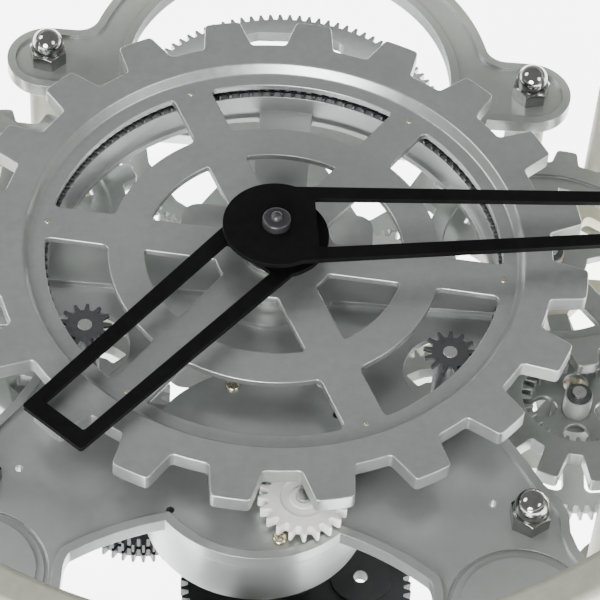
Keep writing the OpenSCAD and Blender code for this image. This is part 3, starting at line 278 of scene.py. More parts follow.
    @staticmethod
    def bore(piece: Solid, radius: float, low: float, high: float, at: Point = (0, 0),
             sides: int = 96) -> None:
        """Cuts an upright round hole that overruns both faces.

        Args:
            piece: The piece to cut.
            radius: Radius of the hole.
            low: Height of the face below.
            high: Height of the face above.
            at: Place of its middle.
            sides: Number of sides.
        """
        Bench.cut(piece, Bench.cylinder("bore", radius, low - OVER, high + OVER, at, sides))

    @staticmethod
    def join(pieces: list[Solid], name: str) -> Solid:
        """Joins separate solids into one object."""
        Bench.clear()
        for piece in pieces:
            piece.select_set(True)
        bpy.context.view_layer.objects.active = pieces[0]
        bpy.ops.object.join()
        pieces[0].name = name
        return pieces[0]

    @staticmethod
    def copy(piece: Solid, name: str) -> Solid:
        """Copies a piece with a mesh of its own."""
        Bench.take(piece)
        bpy.ops.object.duplicate(linked=False)
        twin = bpy.context.active_object
        twin.name = name
        return twin

    @staticmethod
    def round_about(piece: Solid, count: int, at: Point = (0, 0)) -> Solid:
        """Repeats a piece evenly round an upright axis, as one object.

        Args:
            piece: The first one.
            count: How many there are in all.
            at: Place of the axis.

        Returns:
            The joined object.
        """
        all_of_them = [piece]
        for index in range(1, count):
            twin = Bench.copy(piece, f"{piece.name}_{index}")
            Bench.turn(twin, index * 360 / count, at)
            all_of_them.append(twin)
        return Bench.join(all_of_them, piece.name)

    @staticmethod
    def mirrored(piece: Solid, name: str) -> Solid:
        """Copies a piece to the other side of the upright middle plane."""
        twin = Bench.copy(piece, name)
        Bench.select(twin, Pick.POINTS)
        bpy.ops.transform.resize(value=(-1, 1, 1), center_override=(0, 0, 0))
        bpy.ops.mesh.normals_make_consistent(inside=False)
        Bench.done()
        return twin

    @staticmethod
    def slice(piece: Solid, at: Point, away: Point) -> None:
        """Cuts off what lies beyond an upright plane and closes the cut.

        Args:
            piece: The piece to cut.
            at: A point of the plane.
            away: Direction of the side that goes.
        """
        Bench.select(piece, Pick.FACES)
        bpy.ops.mesh.bisect(plane_co=(at[0] * MM, at[1] * MM, 0), plane_no=(away[0], away[1], 0),
                            use_fill=True, clear_outer=True)
        Bench.done()

    @staticmethod
    def round_edges(piece: Solid, test: Callable[[object], bool], radius: float, segments: int) -> None:
        """Rounds the edges that pass a test."""
        if Bench.select(piece, Pick.EDGES, test):
            bpy.ops.mesh.bevel(offset=radius * MM, segments=segments, affect="EDGES")
        Bench.done()

    @staticmethod
    def round_uprights(piece: Solid, radius: float, segments: int = 4) -> None:
        """Rounds the sharp upright edges of a prism."""
        def upright_corner(edge: bmesh.types.BMEdge) -> bool:
            """True for a sharp upright edge."""
            a, b = edge.verts
            upright = abs(a.co.x - b.co.x) < 1e-7 and abs(a.co.y - b.co.y) < 1e-7
            sharp = math.radians(Bench.CORNER_ANGLE)
            return upright and len(edge.link_faces) == 2 and edge.calc_face_angle(0) > sharp
        Bench.round_edges(piece, upright_corner, radius, segments)

    @staticmethod
    def round_top(piece: Solid, top: float, radius: float, segments: int) -> None:
        """Rounds the edges of a piece's top face, which lies at the height top."""
        floor = (top - Bench.TOP_SKIN) * MM
        Bench.round_edges(piece, lambda e: all(v.co.z > floor for v in e.verts), radius, segments)

    @staticmethod
    def finish(piece: Solid, edge: float = 0, segments: int = 2) -> None:
        """Breaks the sharp edges with a bevel, if it has a width, and shades the rest smooth.

        Args:
            piece: The piece.
            edge: Width of the broken edge, or 0 for none.
            segments: Faces across it.
        """
        Bench.tidy(piece, Bench.BEVEL_NEAR if edge else Bench.PLAIN_NEAR)
        Bench.take(piece)
        if edge:
            step = piece.modifiers.new("edge", "BEVEL")
            step.width, step.segments, step.limit_method = edge * MM, segments, "ANGLE"
            step.angle_limit, step.miter_outer = math.radians(Bench.BROKEN_ANGLE), "MITER_ARC"
            step.use_clamp_overlap = False
            bpy.ops.object.modifier_apply(modifier=step.name)
        else:
            Bench.split_faces(piece)
        bpy.ops.object.shade_smooth_by_angle(angle=math.radians(Bench.SMOOTH_ANGLE))
        step = piece.modifiers.new("flat", "WEIGHTED_NORMAL")
        step.keep_sharp, step.weight = True, Bench.FLAT_WEIGHT
        bpy.ops.object.modifier_apply(modifier=step.name)


@dataclass(frozen=True)
class Teeth:
    """A ring of straight-sided teeth with rounded corners. Half widths and phase are in degrees."""

    count: int
    root: float
    tip: float
    root_half: float
    tip_half: float
    corner: float
    phase: float

    HALF = 14   # steps from the middle of a tooth to the middle of a gap

    def half_tooth(self) -> list[Point]:
        """Angle from the tooth's middle and radius of each point of half a tooth."""
        def curve(a: Point, b: Point, c: Point, t: float) -> Point:
            """A point of the curve that rounds corner b."""
            return tuple((1 - t) ** 2 * p + 2 * t * (1 - t) * q + t * t * r for p, q, r in zip(a, b, c))
        share = self.corner / (self.tip - self.root)
        lean = (self.root_half - self.tip_half) * share
        tip_turn, root_turn = (min(math.degrees(self.corner / r), 0.9 * self.tip_half)
                               for r in (self.tip, self.root))
        flat = self.tip_half - tip_turn
        points = [(flat * k / 3, self.tip) for k in range(3)]
        flank_top = (self.tip_half + lean, self.tip - self.corner)
        points += [curve((flat, self.tip), (self.tip_half, self.tip), flank_top, k / 3) for k in range(4)]
        flank_foot = (self.root_half - lean, self.root + self.corner)
        low = (self.root_half + root_turn, self.root)
        points += [curve(flank_foot, (self.root_half, self.root), low, k / 3) for k in range(4)]
        end = 180 / self.count
        return points + [(low[0] + (end - low[0]) * k / 4, self.root) for k in range(1, 5)]

    def blank(self, name: str, low: float, high: float, at: Point = (0, 0)) -> Solid:
        """Makes the toothed disc from a filled ring, turning and scaling its points, then extruding it.

        Args:
            name: The piece's name.
            low: Height of its low face.
            high: Height of its high face.
            at: Place of its axis.

        Returns:
            The piece.
        """
        Bench.clear()
        around = self.count * 2 * self.HALF
        bpy.ops.mesh.primitive_circle_add(vertices=around, radius=self.root * MM, fill_type="NGON",
                                          location=(at[0] * MM, at[1] * MM, low * MM))
        piece = Bench.settle(name)
        pivot = (at[0] * MM, at[1] * MM, low * MM)
        step = 360 / around
        half = self.half_tooth()
        for place in range(1 - self.HALF, self.HALF + 1):
            angle, radius = half[abs(place)]
            if Bench.select(piece, Pick.POINTS, lambda v: (v.index - place) % (2 * self.HALF) == 0):
                turn = math.copysign(angle, place) - place * step + self.phase - 90
                bpy.ops.transform.rotate(value=-math.radians(turn), orient_axis="Z", center_override=pivot)
                share = radius / self.root
                bpy.ops.transform.resize(value=(share, share, 1), center_override=pivot)
        Bench.done()
        Bench.raise_face(piece, high - low)
        return piece


@dataclass(frozen=True)
class Windows:
    """Windows between spokes, evenly round an axis."""

    count: int
    outer: float
    inner: float
    spoke: float
    corner: float
    start: float

    def cutter(self, low: float, high: float, at: Point = (0, 0)) -> Solid:
        """Makes the solid that cuts the windows.

        Args:
            low: Height of its low face.
            high: Height of its high face.
            at: Place of the axis.

        Returns:
            One object that holds all the cutters.
        """
        first = Bench.cylinder("window", self.outer, low, high, at, sides=192)
        Bench.bore(first, self.inner, low, high, at, 144)
        for angle, side in ((self.start, 1), (self.start + 360 / self.count, -1)):
            a = math.radians(angle)
            normal = (-math.sin(a) * side, math.cos(a) * side)
            point = (at[0] + normal[0] * self.spoke / 2, at[1] + normal[1] * self.spoke / 2)
            Bench.slice(first, point, (-normal[0], -normal[1]))
        Bench.round_uprights(first, self.corner)
        return Bench.round_about(first, self.count, at)


# Shader maths

class Value:
    """A socket of a shader, with arithmetic."""

    def __init__(self, sheet: "Sheet", socket: bpy.types.NodeSocket) -> None:
        """Wraps a socket of a sheet."""
        self.sheet, self.socket = sheet, socket

    def _math(self, operation: str, first: "Term", second: "Term") -> "Value":
        """Adds one Math node."""
        return self.sheet.value("ShaderNodeMath", {"operation": operation}, {0: first, 1: second})

    def __add__(self, other: "Term") -> "Value":
        """Sum."""
        return self._math("ADD", self, other)

    __radd__ = __add__

    def __sub__(self, other: "Term") -> "Value":
        """Difference."""
        return self._math("SUBTRACT", self, other)

    def __rsub__(self, other: "Term") -> "Value":
        """Difference, reflected."""
        return self._math("SUBTRACT", other, self)

    def __mul__(self, other: "Term") -> "Value":
        """Product."""
        return self._math("MULTIPLY", self, other)

    __rmul__ = __mul__

    def kept(self) -> "Value":
        """Held between 0 and 1."""
        return self.sheet.value("ShaderNodeClamp", {}, {"Value": self})


Term = Union[Value, int, float]
Colour = tuple[float, float, float]


class Sheet:
    """The node tree of one material."""

    def __init__(self, name: str) -> None:
        """Starts a material with one Principled shader."""
        self.material = bpy.data.materials.new("look_" + name)
        self.material.use_nodes = True
        self.tree = self.material.node_tree
        self.tree.nodes.clear()
        self.surface = self.node("ShaderNodeBsdfPrincipled", {}, {})
        output = self.node("ShaderNodeOutputMaterial", {}, {})
        self.tree.links.new(self.surface.outputs["BSDF"], output.inputs["Surface"])
        self.place = self.value("ShaderNodeTexCoord", {}, {}, "Object")

    def node(self, kind: str, settings: dict, inputs: dict) -> bpy.types.Node:
        """Adds a node.

        Args:
            kind: The node's type.
            settings: Its settings, among them a ramp's stops, set first.
            inputs: Values or links of its sockets, by name or number.

        Returns:
            The node.
        """
        node = self.tree.nodes.new(kind)
        for key, setting in settings.items():
            if key == "stops":
                ramp = node.color_ramp
                while len(ramp.elements) < len(setting):
                    ramp.elements.new(0.5)
                for element, (position, level) in zip(ramp.elements, setting):
                    element.position, element.color = position, (level, level, level, 1)
            else:
                setattr(node, key, setting)
        for key, term in inputs.items():
            self.feed(node.inputs[key], term)
        return node

    def feed(self, socket: bpy.types.NodeSocket, term: object) -> None:
        """Links or sets one socket."""
        if isinstance(term, Value):
            self.tree.links.new(term.socket, socket)
        elif isinstance(term, tuple) and len(term) == 3 and socket.type == "RGBA":
            socket.default_value = (*term, 1)
        else:
            socket.default_value = term

    def value(self, kind: str, settings: dict, inputs: dict, output: Union[str, int] = 0) -> Value:
        """Adds a node and gives one of its outputs."""
        return Value(self, self.node(kind, settings, inputs).outputs[output])

    def noise(self, size: float, detail: float = 2, rough: float = 0.5, stretch: tuple = (1, 1, 1)) -> Value:
        """Noise whose features are about size millimetres wide."""
        place = self.place
        if stretch != (1, 1, 1):
            place = self.value("ShaderNodeMapping", {}, {"Vector": self.place, "Scale": stretch})
        return self.value("ShaderNodeTexNoise", {}, {
            "Vector": place, "Scale": 1 / (size * MM), "Detail": detail, "Roughness": rough})

    def ramp(self, factor: Value, *stops: tuple[float, float]) -> Value:
        """Maps a factor through stops of position and level."""
        return self.value("ShaderNodeValToRGB", {"stops": stops}, {"Fac": factor})

    def blend(self, factor: Term, first: object, second: object) -> Value:
        """Mixes two colours."""
        return self.value("ShaderNodeMix", {"data_type": "RGBA"}, {0: factor, 6: first, 7: second}, 2)

    def rounded(self, radius: float) -> Value:
        """The normal with its edges rounded, radius in millimetres."""
        return self.value("ShaderNodeBevel", {"samples": 6}, {"Radius": radius * MM})

    def edge(self, normal: Value, gain: float) -> Value:
        """1 on edges, where the rounded normal leaves the true one."""
        true = self.value("ShaderNodeNewGeometry", {}, {}, "Normal")
        dot = {"operation": "DOT_PRODUCT"}
        along = self.value("ShaderNodeVectorMath", dot, {0: normal, 1: true}, "Value")
        return ((1 - along) * gain).kept()

    def bump(self, height: Value, depth: float, strength: float, normal: Optional[Value] = None) -> Value:
        """A bumped normal, depth in millimetres."""
        inputs = {"Height": height, "Distance": depth * MM, "Strength": strength}
        if normal:
            inputs["Normal"] = normal
        return self.value("ShaderNodeBump", {}, inputs)

    def set(self, **terms: object) -> None:
        """Sets or links sockets of the surface; underscores stand for spaces."""
        for key, term in terms.items():
            self.feed(self.surface.inputs[key.replace("_", " ")], term)


# Finishes

@dataclass(frozen=True)
class SprayedMetal:
    """Sprayed satin paint with metal flake or plain pigment, lighter on the edges: partly paint worn thin,
    partly a painted edge highlight.
    """

    name: str
    light: Colour
    dark: Colour
    # colour of the metal flakes and of the edges; on the edges it is partly worn paint, partly a painted
    # highlight
    bare_and_edge_highlight: Colour
    metallic: float = 0.7
    roughness: float = 0.36
    round_mm: float = 0.35
    peel: float = 0.35
    shine: float = 0.5

    def make(self) -> bpy.types.Material:
        """Builds the material."""
        sheet = Sheet(self.name)
        flake = sheet.noise(0.35, 2, 0.7)
        mottle = sheet.noise(2.6, 3, 0.6)
        cloud = sheet.noise(16, 2)
        normal = sheet.rounded(self.round_mm)
        edge = sheet.edge(normal, 2.2)
        shade = sheet.ramp(mottle * 0.55 + cloud * 0.45, (0.36, 0.0), (0.66, 1.0))
        body = sheet.blend(shade, self.dark, self.light)
        speck = sheet.ramp(flake, (0.60, 0.0), (0.78, 1.0))
        body = sheet.blend(speck * 0.35, body, self.bare_and_edge_highlight)
        # edges blend towards the lighter colour: a painted edge highlight, partly paint worn thin
        sheet.set(Base_Color=sheet.blend(edge * 0.5, body, self.bare_and_edge_highlight),
                  Metallic=self.metallic,
                  Roughness=(self.roughness + (mottle - 0.5) * 0.16 + (flake - 0.5) * 0.10 - edge * 0.08),
                  Normal=sheet.bump(mottle * 0.6 + flake * 0.25, 0.06, self.peel, normal))
        sheet.surface.inputs["Specular IOR Level"].default_value = self.shine
        sheet.surface.inputs["Coat Weight"].default_value = 0.12 if self.metallic else 0.0
        sheet.surface.inputs["Coat Roughness"].default_value = 0.25
        return sheet.material


@dataclass(frozen=True)
class TurnedMetal:
    """Turned or plated metal with fine marks and faint stains."""

    name: str
    colour: Colour
    stain: Colour
    roughness: float
    marks: float = 0.25

    def make(self) -> bpy.types.Material:
        """Builds the material."""
        sheet = Sheet(self.name)
        fine = sheet.noise(0.18, 2, 0.6, (1, 1, 6))
        stain = sheet.noise(1.8, 3, 0.6)
        normal = sheet.rounded(0.2)
        edge = sheet.edge(normal, 1.5)
        spot = sheet.ramp(stain, (0.45, 0.0), (0.75, 1.0))
        sheet.set(Base_Color=sheet.blend(spot * 0.5, self.colour, self.stain), Metallic=1.0,
                  Roughness=(self.roughness + spot * 0.12 + (fine - 0.5) * self.marks * 0.4
                             + edge * 0.03).kept(),
                  Normal=sheet.bump(fine, 0.01, self.marks, normal))
        return sheet.material


@dataclass(frozen=True)
class MouldedPlastic:
    """Moulded plastic: faint flow clouds, fine grain, a soft skin and a painted highlight on its edges."""

    name: str
    colour: Colour
    shade: Colour
    roughness: float = 0.45
    grain: float = 0.2
    glow: float = 0.0

    def make(self) -> bpy.types.Material:
        """Builds the material."""
        sheet = Sheet(self.name)
        cloud = sheet.noise(7, 2)
        grain = sheet.noise(0.25, 2, 0.7)
        normal = sheet.rounded(0.25)
        edge = sheet.edge(normal, 1.8)
        flow = sheet.ramp(cloud, (0.35, 0.0), (0.7, 1.0))
        body = sheet.blend(flow, self.shade, self.colour)
        # lighter colour for the edges: a painted edge highlight
        light = tuple(min(1.0, c * 1.18 + 0.02) for c in self.colour)
        sheet.set(Base_Color=sheet.blend(edge * 0.45, body, light),
                  Roughness=(self.roughness + (grain - 0.5) * 0.14 + (cloud - 0.5) * 0.1).kept(),
                  Normal=sheet.bump(grain, 0.02, self.grain, normal))
        sheet.surface.inputs["Subsurface Weight"].default_value = self.glow
        sheet.surface.inputs["Subsurface Scale"].default_value = 0.001
        return sheet.material


class Finish(Enum):
    """The finishes of this clock."""

    SILVER = SprayedMetal("silver_paint", (0.425, 0.443, 0.435), (0.395, 0.412, 0.405), (0.47, 0.488, 0.48),
                          metallic=0.7, roughness=0.34, peel=0.16)
    GEAR_SILVER = SprayedMetal("gear_silver_paint", (0.42, 0.442, 0.432), (0.37, 0.39, 0.38),
                               (0.62, 0.64, 0.63), metallic=0.82, roughness=0.36, peel=0.08)
    CREAM = SprayedMetal("cream_paint", (0.31, 0.31, 0.25), (0.255, 0.255, 0.205), (0.42, 0.42, 0.35),
                         metallic=0.0, roughness=0.42, peel=0.25)
    BLACK = SprayedMetal("black_paint", (0.004, 0.004, 0.004), (0.002, 0.002, 0.002), (0.012, 0.012, 0.012),
                         metallic=0.0, roughness=0.48, round_mm=0.2, peel=0.12, shine=0.1)
    CHROME = TurnedMetal("chrome", (0.30, 0.30, 0.29), (0.2, 0.2, 0.19), 0.06, 0.05)
    NICKEL = TurnedMetal("nickel", (0.70, 0.66, 0.52), (0.50, 0.44, 0.30), 0.22, 0.15)
    STEEL = TurnedMetal("turned_steel", (0.62, 0.62, 0.60), (0.42, 0.41, 0.39), 0.28)
    DARK_STEEL = TurnedMetal("dark_steel", (0.15, 0.155, 0.16), (0.08, 0.08, 0.085), 0.38)
    BRASS = TurnedMetal("turned_brass", (0.72, 0.50, 0.20), (0.50, 0.32, 0.12), 0.28)
    WHITE = MouldedPlastic("white_plastic", (0.82, 0.82, 0.79), (0.74, 0.74, 0.71), 0.38, 0.12, 0.15)
    IVORY = MouldedPlastic("ivory_plastic", (0.66, 0.63, 0.50), (0.58, 0.55, 0.43), 0.42, 0.15, 0.1)
    GREY = MouldedPlastic("grey_plastic", (0.42, 0.43, 0.42), (0.35, 0.36, 0.355), 0.45)
    DARK = MouldedPlastic("dark_plastic", (0.022, 0.022, 0.024), (0.014, 0.014, 0.016), 0.38)
    CASE = MouldedPlastic("black_case_plastic", (0.018, 0.018, 0.018), (0.011, 0.011, 0.011), 0.5, 0.5)
    RUBBER = MouldedPlastic("pad_rubber", (0.04, 0.04, 0.04), (0.028, 0.028, 0.028), 0.8, 0.7)
    WRAPPER = MouldedPlastic("cell_wrapper", (0.06, 0.09, 0.13), (0.045, 0.07, 0.10), 0.3, 0.05)

    def material(self) -> bpy.types.Material:
        """The finish's material, made once."""
        return bpy.data.materials.get("look_" + self.value.name) or self.value.make()


class Fitter:
    """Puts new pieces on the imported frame."""

    WELD_M = 2e-6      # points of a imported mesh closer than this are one
    SHARP_ANGLE = 32   # its edges that turn by more stay sharp

    def __init__(self) -> None:
        """Reads which body each node rides on."""
        bodies = frame["record"]["behaviour"]["bodies"]
        self.body = {node: body for body, nodes in bodies.items() for node in nodes}

    def fit(self, piece: Solid, node: str, finish: Finish) -> None:
        """Gives a piece its finish, lets it ride where its node rides and hides the node.

        Args:
            piece: The new piece.
            node: The node that it stands for.
            finish: Its finish.
        """
        piece.data.materials.clear()
        piece.data.materials.append(finish.material())
        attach(piece, self.body[node])
        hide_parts(node)
        log.info("%s stands for %s: %d faces", piece.name, node, len(piece.data.polygons))

    def dress(self, node: str, finish: Finish) -> None:
        """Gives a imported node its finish, with its loose triangles welded and its round faces smooth."""
        piece = frame["nodes"][node]
        if not piece.data.materials:
            piece.data.materials.append(finish.material())
        for slot in piece.material_slots:
            slot.material = finish.material()
        for face in piece.data.polygons:
            face.use_smooth = True
        weld = piece.modifiers.new("weld", "WELD")
        weld.merge_threshold = self.WELD_M
        split = piece.modifiers.new("sharp", "EDGE_SPLIT")
        split.split_angle = math.radians(self.SHARP_ANGLE)
        log.info("%s keeps its packed shape", node)


# Sub-assemblies

@dataclass
class MainWheel:
    """The big toothed wheel with six spokes, its rivets and its white pinion."""

    turn: float = -4.1
    low: float = 57.8
    disc_top: float = 60.0
    top: float = 62.9
    step_low_r: float = 69.0
    step_high_r: float = 70.85
    bore_r: float = 9.0
    spokes: int = 6
    spoke_w: float = 11.7
    coarse: Teeth = Teeth(count=20, root=78.65, tip=88.6, root_half=5.25, tip_half=3.4, corner=1.1,
                          phase=turn)
    outer_row: Windows = Windows(spokes, outer=64.7, inner=47.1, spoke=spoke_w, corner=2.0, start=turn)
    inner_row: Windows = Windows(spokes, outer=36.7, inner=17.2, spoke=spoke_w, corner=1.2, start=turn)
    rivet_circle_r: float = 65.0
    rivet_r: float = 0.85
    rivet_tail: float = 0.6
    rivet_head: float = 0.25
    white_dir: float = -80.9
    white_low: float = 51.0
    white_high: float = 54.8
    white_teeth: int = 20
    ring_teeth: int = 128
    tooth_size: float = 1.1
    dedendum_share: float = 1.25
    root_half_share: float = 0.31
    tip_half_share: float = 0.11
    tooth_corner: float = 0.38
    white_sink_r: float = 6.2
    white_sink_deep: float = 0.5
    white_hub_r: float = 3.6
    white_hub_root: float = 1.0
    white_bore_r: float = 2.0

    def wheel(self) -> Solid:
        """Models the wheel: toothed blank, sunk disc with a sloped step, windows and bore."""
        piece = self.coarse.blank("main_wheel", self.low, self.top)
        slope = (self.step_high_r - self.step_low_r) / (self.top - self.disc_top)
        rim_r = self.step_low_r + slope * (self.top + OVER - self.disc_top)
        Bench.cut(piece, Bench.cylinder("dish", self.step_low_r, self.disc_top, self.top + OVER, sides=240,
                                        top=rim_r))
        for row in (self.outer_row, self.inner_row):
            Bench.cut(piece, row.cutter(self.low - OVER, self.top + OVER))
        Bench.bore(piece, self.bore_r, self.low, self.top)
        Bench.finish(piece, edge=0.4, segments=3)
        return piece

    def rivets(self) -> Solid:
        """Models the six rivets with domed heads."""
        first = Bench.cylinder("main_wheel_rivets", self.rivet_r, self.low - self.rivet_tail,
                               self.disc_top + self.rivet_head, polar(self.rivet_circle_r, self.turn), 32)
        Bench.finish(first, edge=0.2, segments=3)
        return Bench.round_about(first, self.spokes)

    def white_pinion(self) -> Solid:
        """Models the white pinion with rounded teeth and a low hub."""
        at = polar((self.ring_teeth + self.white_teeth) * self.tooth_size / 2, self.white_dir)
        phase = self.white_dir + 180 - (180 - self.ring_teeth * self.white_dir) / self.white_teeth
        radius = self.white_teeth * self.tooth_size / 2
        pitch = 360 / self.white_teeth
        teeth = Teeth(self.white_teeth, radius - self.dedendum_share * self.tooth_size,
                      radius + self.tooth_size, self.root_half_share * pitch, self.tip_half_share * pitch,
                      self.tooth_corner, phase)
        low, high = self.white_low, self.white_high
        piece = teeth.blank("white_pinion", low, high, at)
        sunk = high - self.white_sink_deep
        Bench.cut(piece, Bench.cylinder("sink", self.white_sink_r, sunk, high + OVER, at))
        Bench.add(piece, Bench.cylinder("hub", self.white_hub_r, low + self.white_hub_root, high, at))
        Bench.bore(piece, self.white_bore_r, low, high, at, 48)
        Bench.finish(piece, edge=0.25)
        return piece

    def build(self, fitter: Fitter) -> None:
        """Models and fits its pieces."""
        fitter.fit(self.wheel(), "main_gear", Finish.GEAR_SILVER)
        fitter.fit(self.rivets(), "main_rivets", Finish.NICKEL)
        fitter.fit(self.white_pinion(), "drive_pinion", Finish.WHITE)


@dataclass
class SideGears:
    """The coarse gears at the sides: one high and one low on each side."""

    stud_hole_r: float = 4.0
    side_at: Point = (80.41, 22.28)
    side_low: float = 37.6
    side_high: float = 41.6
    side_ring: Teeth = Teeth(count=16, root=36.8, tip=41.9, root_half=6.35, tip_half=4.1, corner=0.9,
                             phase=82.7)
    side_row: Windows = Windows(count=5, outer=27.7, inner=11.0, spoke=7.0, corner=2.0, start=20)
    sink_r: float = 31.7
    sink_deep: float = 1.2
    lower_at: Point = (88.97, -25.47)
    lower_low: float = 32.0
    lower_high: float = 37.0
    lower_ring: Teeth = Teeth(count=12, root=21.1, tip=29.9, root_half=9.0, tip_half=6.0, corner=1.0,
                              phase=12)
    drum_low: float = 28.5
    drum_sunk: float = 1.5
    drum_r: float = 18.6
    room_r: float = 16.2
    web_t: float = 2.0
    holes: int = 4
    hole_r: float = 3.6
    hole_circle_r: float = 9.0
    ribs: int = 28
    rib_inner_r: float = 13.0
    rib_outer_r: float = 16.6
    rib_inner_half: float = 0.5
    rib_outer_half: float = 1.15
    rib_root: float = 1.0
    rib_sunk: float = 2.5

    def high_gear(self) -> Solid:
        """Models the right-hand high gear: toothed ring, sunk web and five windows."""
        at, low, high = self.side_at, self.side_low, self.side_high
        piece = self.side_ring.blank("right_high_gear", low, high, at)
        Bench.cut(piece, Bench.cylinder("sink", self.sink_r, high - self.sink_deep, high + OVER, at, 160))
        Bench.cut(piece, self.side_row.cutter(low - OVER, high + OVER, at))
        Bench.bore(piece, self.stud_hole_r, low, high, at, 48)
        Bench.finish(piece, edge=0.35, segments=3)
        return piece

    def low_gear(self) -> Solid:
        """Models the right-hand low gear: toothed ring, drum, web with holes and wedge-shaped ribs."""
        at, low, high = self.lower_at, self.drum_low, self.lower_high
        piece = self.lower_ring.blank("right_low_gear", self.lower_low, high, at)
        Bench.add(piece, Bench.cylinder("drum", self.drum_r, low, high - self.drum_sunk, at, 120))
        Bench.cut(piece, Bench.cylinder("room", self.room_r, low + self.web_t, high + OVER, at, 120))
        beside = (at[0] + self.hole_circle_r, at[1])
        hole = Bench.cylinder("hole", self.hole_r, low - OVER, self.lower_low, beside, 48)
        Bench.cut(piece, Bench.round_about(hole, self.holes, at))
        Bench.cut(piece, Bench.cylinder("bore", self.stud_hole_r, low - OVER, self.lower_low, at, 48))
        Bench.finish(piece, edge=0.35, segments=3)
        wedge = [(self.rib_inner_r, -self.rib_inner_half), (self.rib_outer_r, -self.rib_outer_half),
                 (self.rib_outer_r, self.rib_outer_half), (self.rib_inner_r, self.rib_inner_half)]
        rib = Bench.prism("rib", [(at[0] + x, at[1] + y) for x, y in wedge], low + self.rib_root,
                          high - self.rib_sunk)
        Bench.finish(rib, edge=0.2, segments=1)
        return Bench.join([piece, Bench.round_about(rib, self.ribs, at)], "right_low_gear")

    def build(self, fitter: Fitter) -> None:
        """Models the right-hand gears, mirrors them to the left and fits all four."""
        for piece, node in ((self.high_gear(), "side_gear"), (self.low_gear(), "lower_gear")):
            twin = Bench.mirrored(piece, piece.name.replace("right", "left"))
            fitter.fit(piece, f"right_{node}", Finish.GEAR_SILVER)
            fitter.fit(twin, f"left_{node}", Finish.GEAR_SILVER)


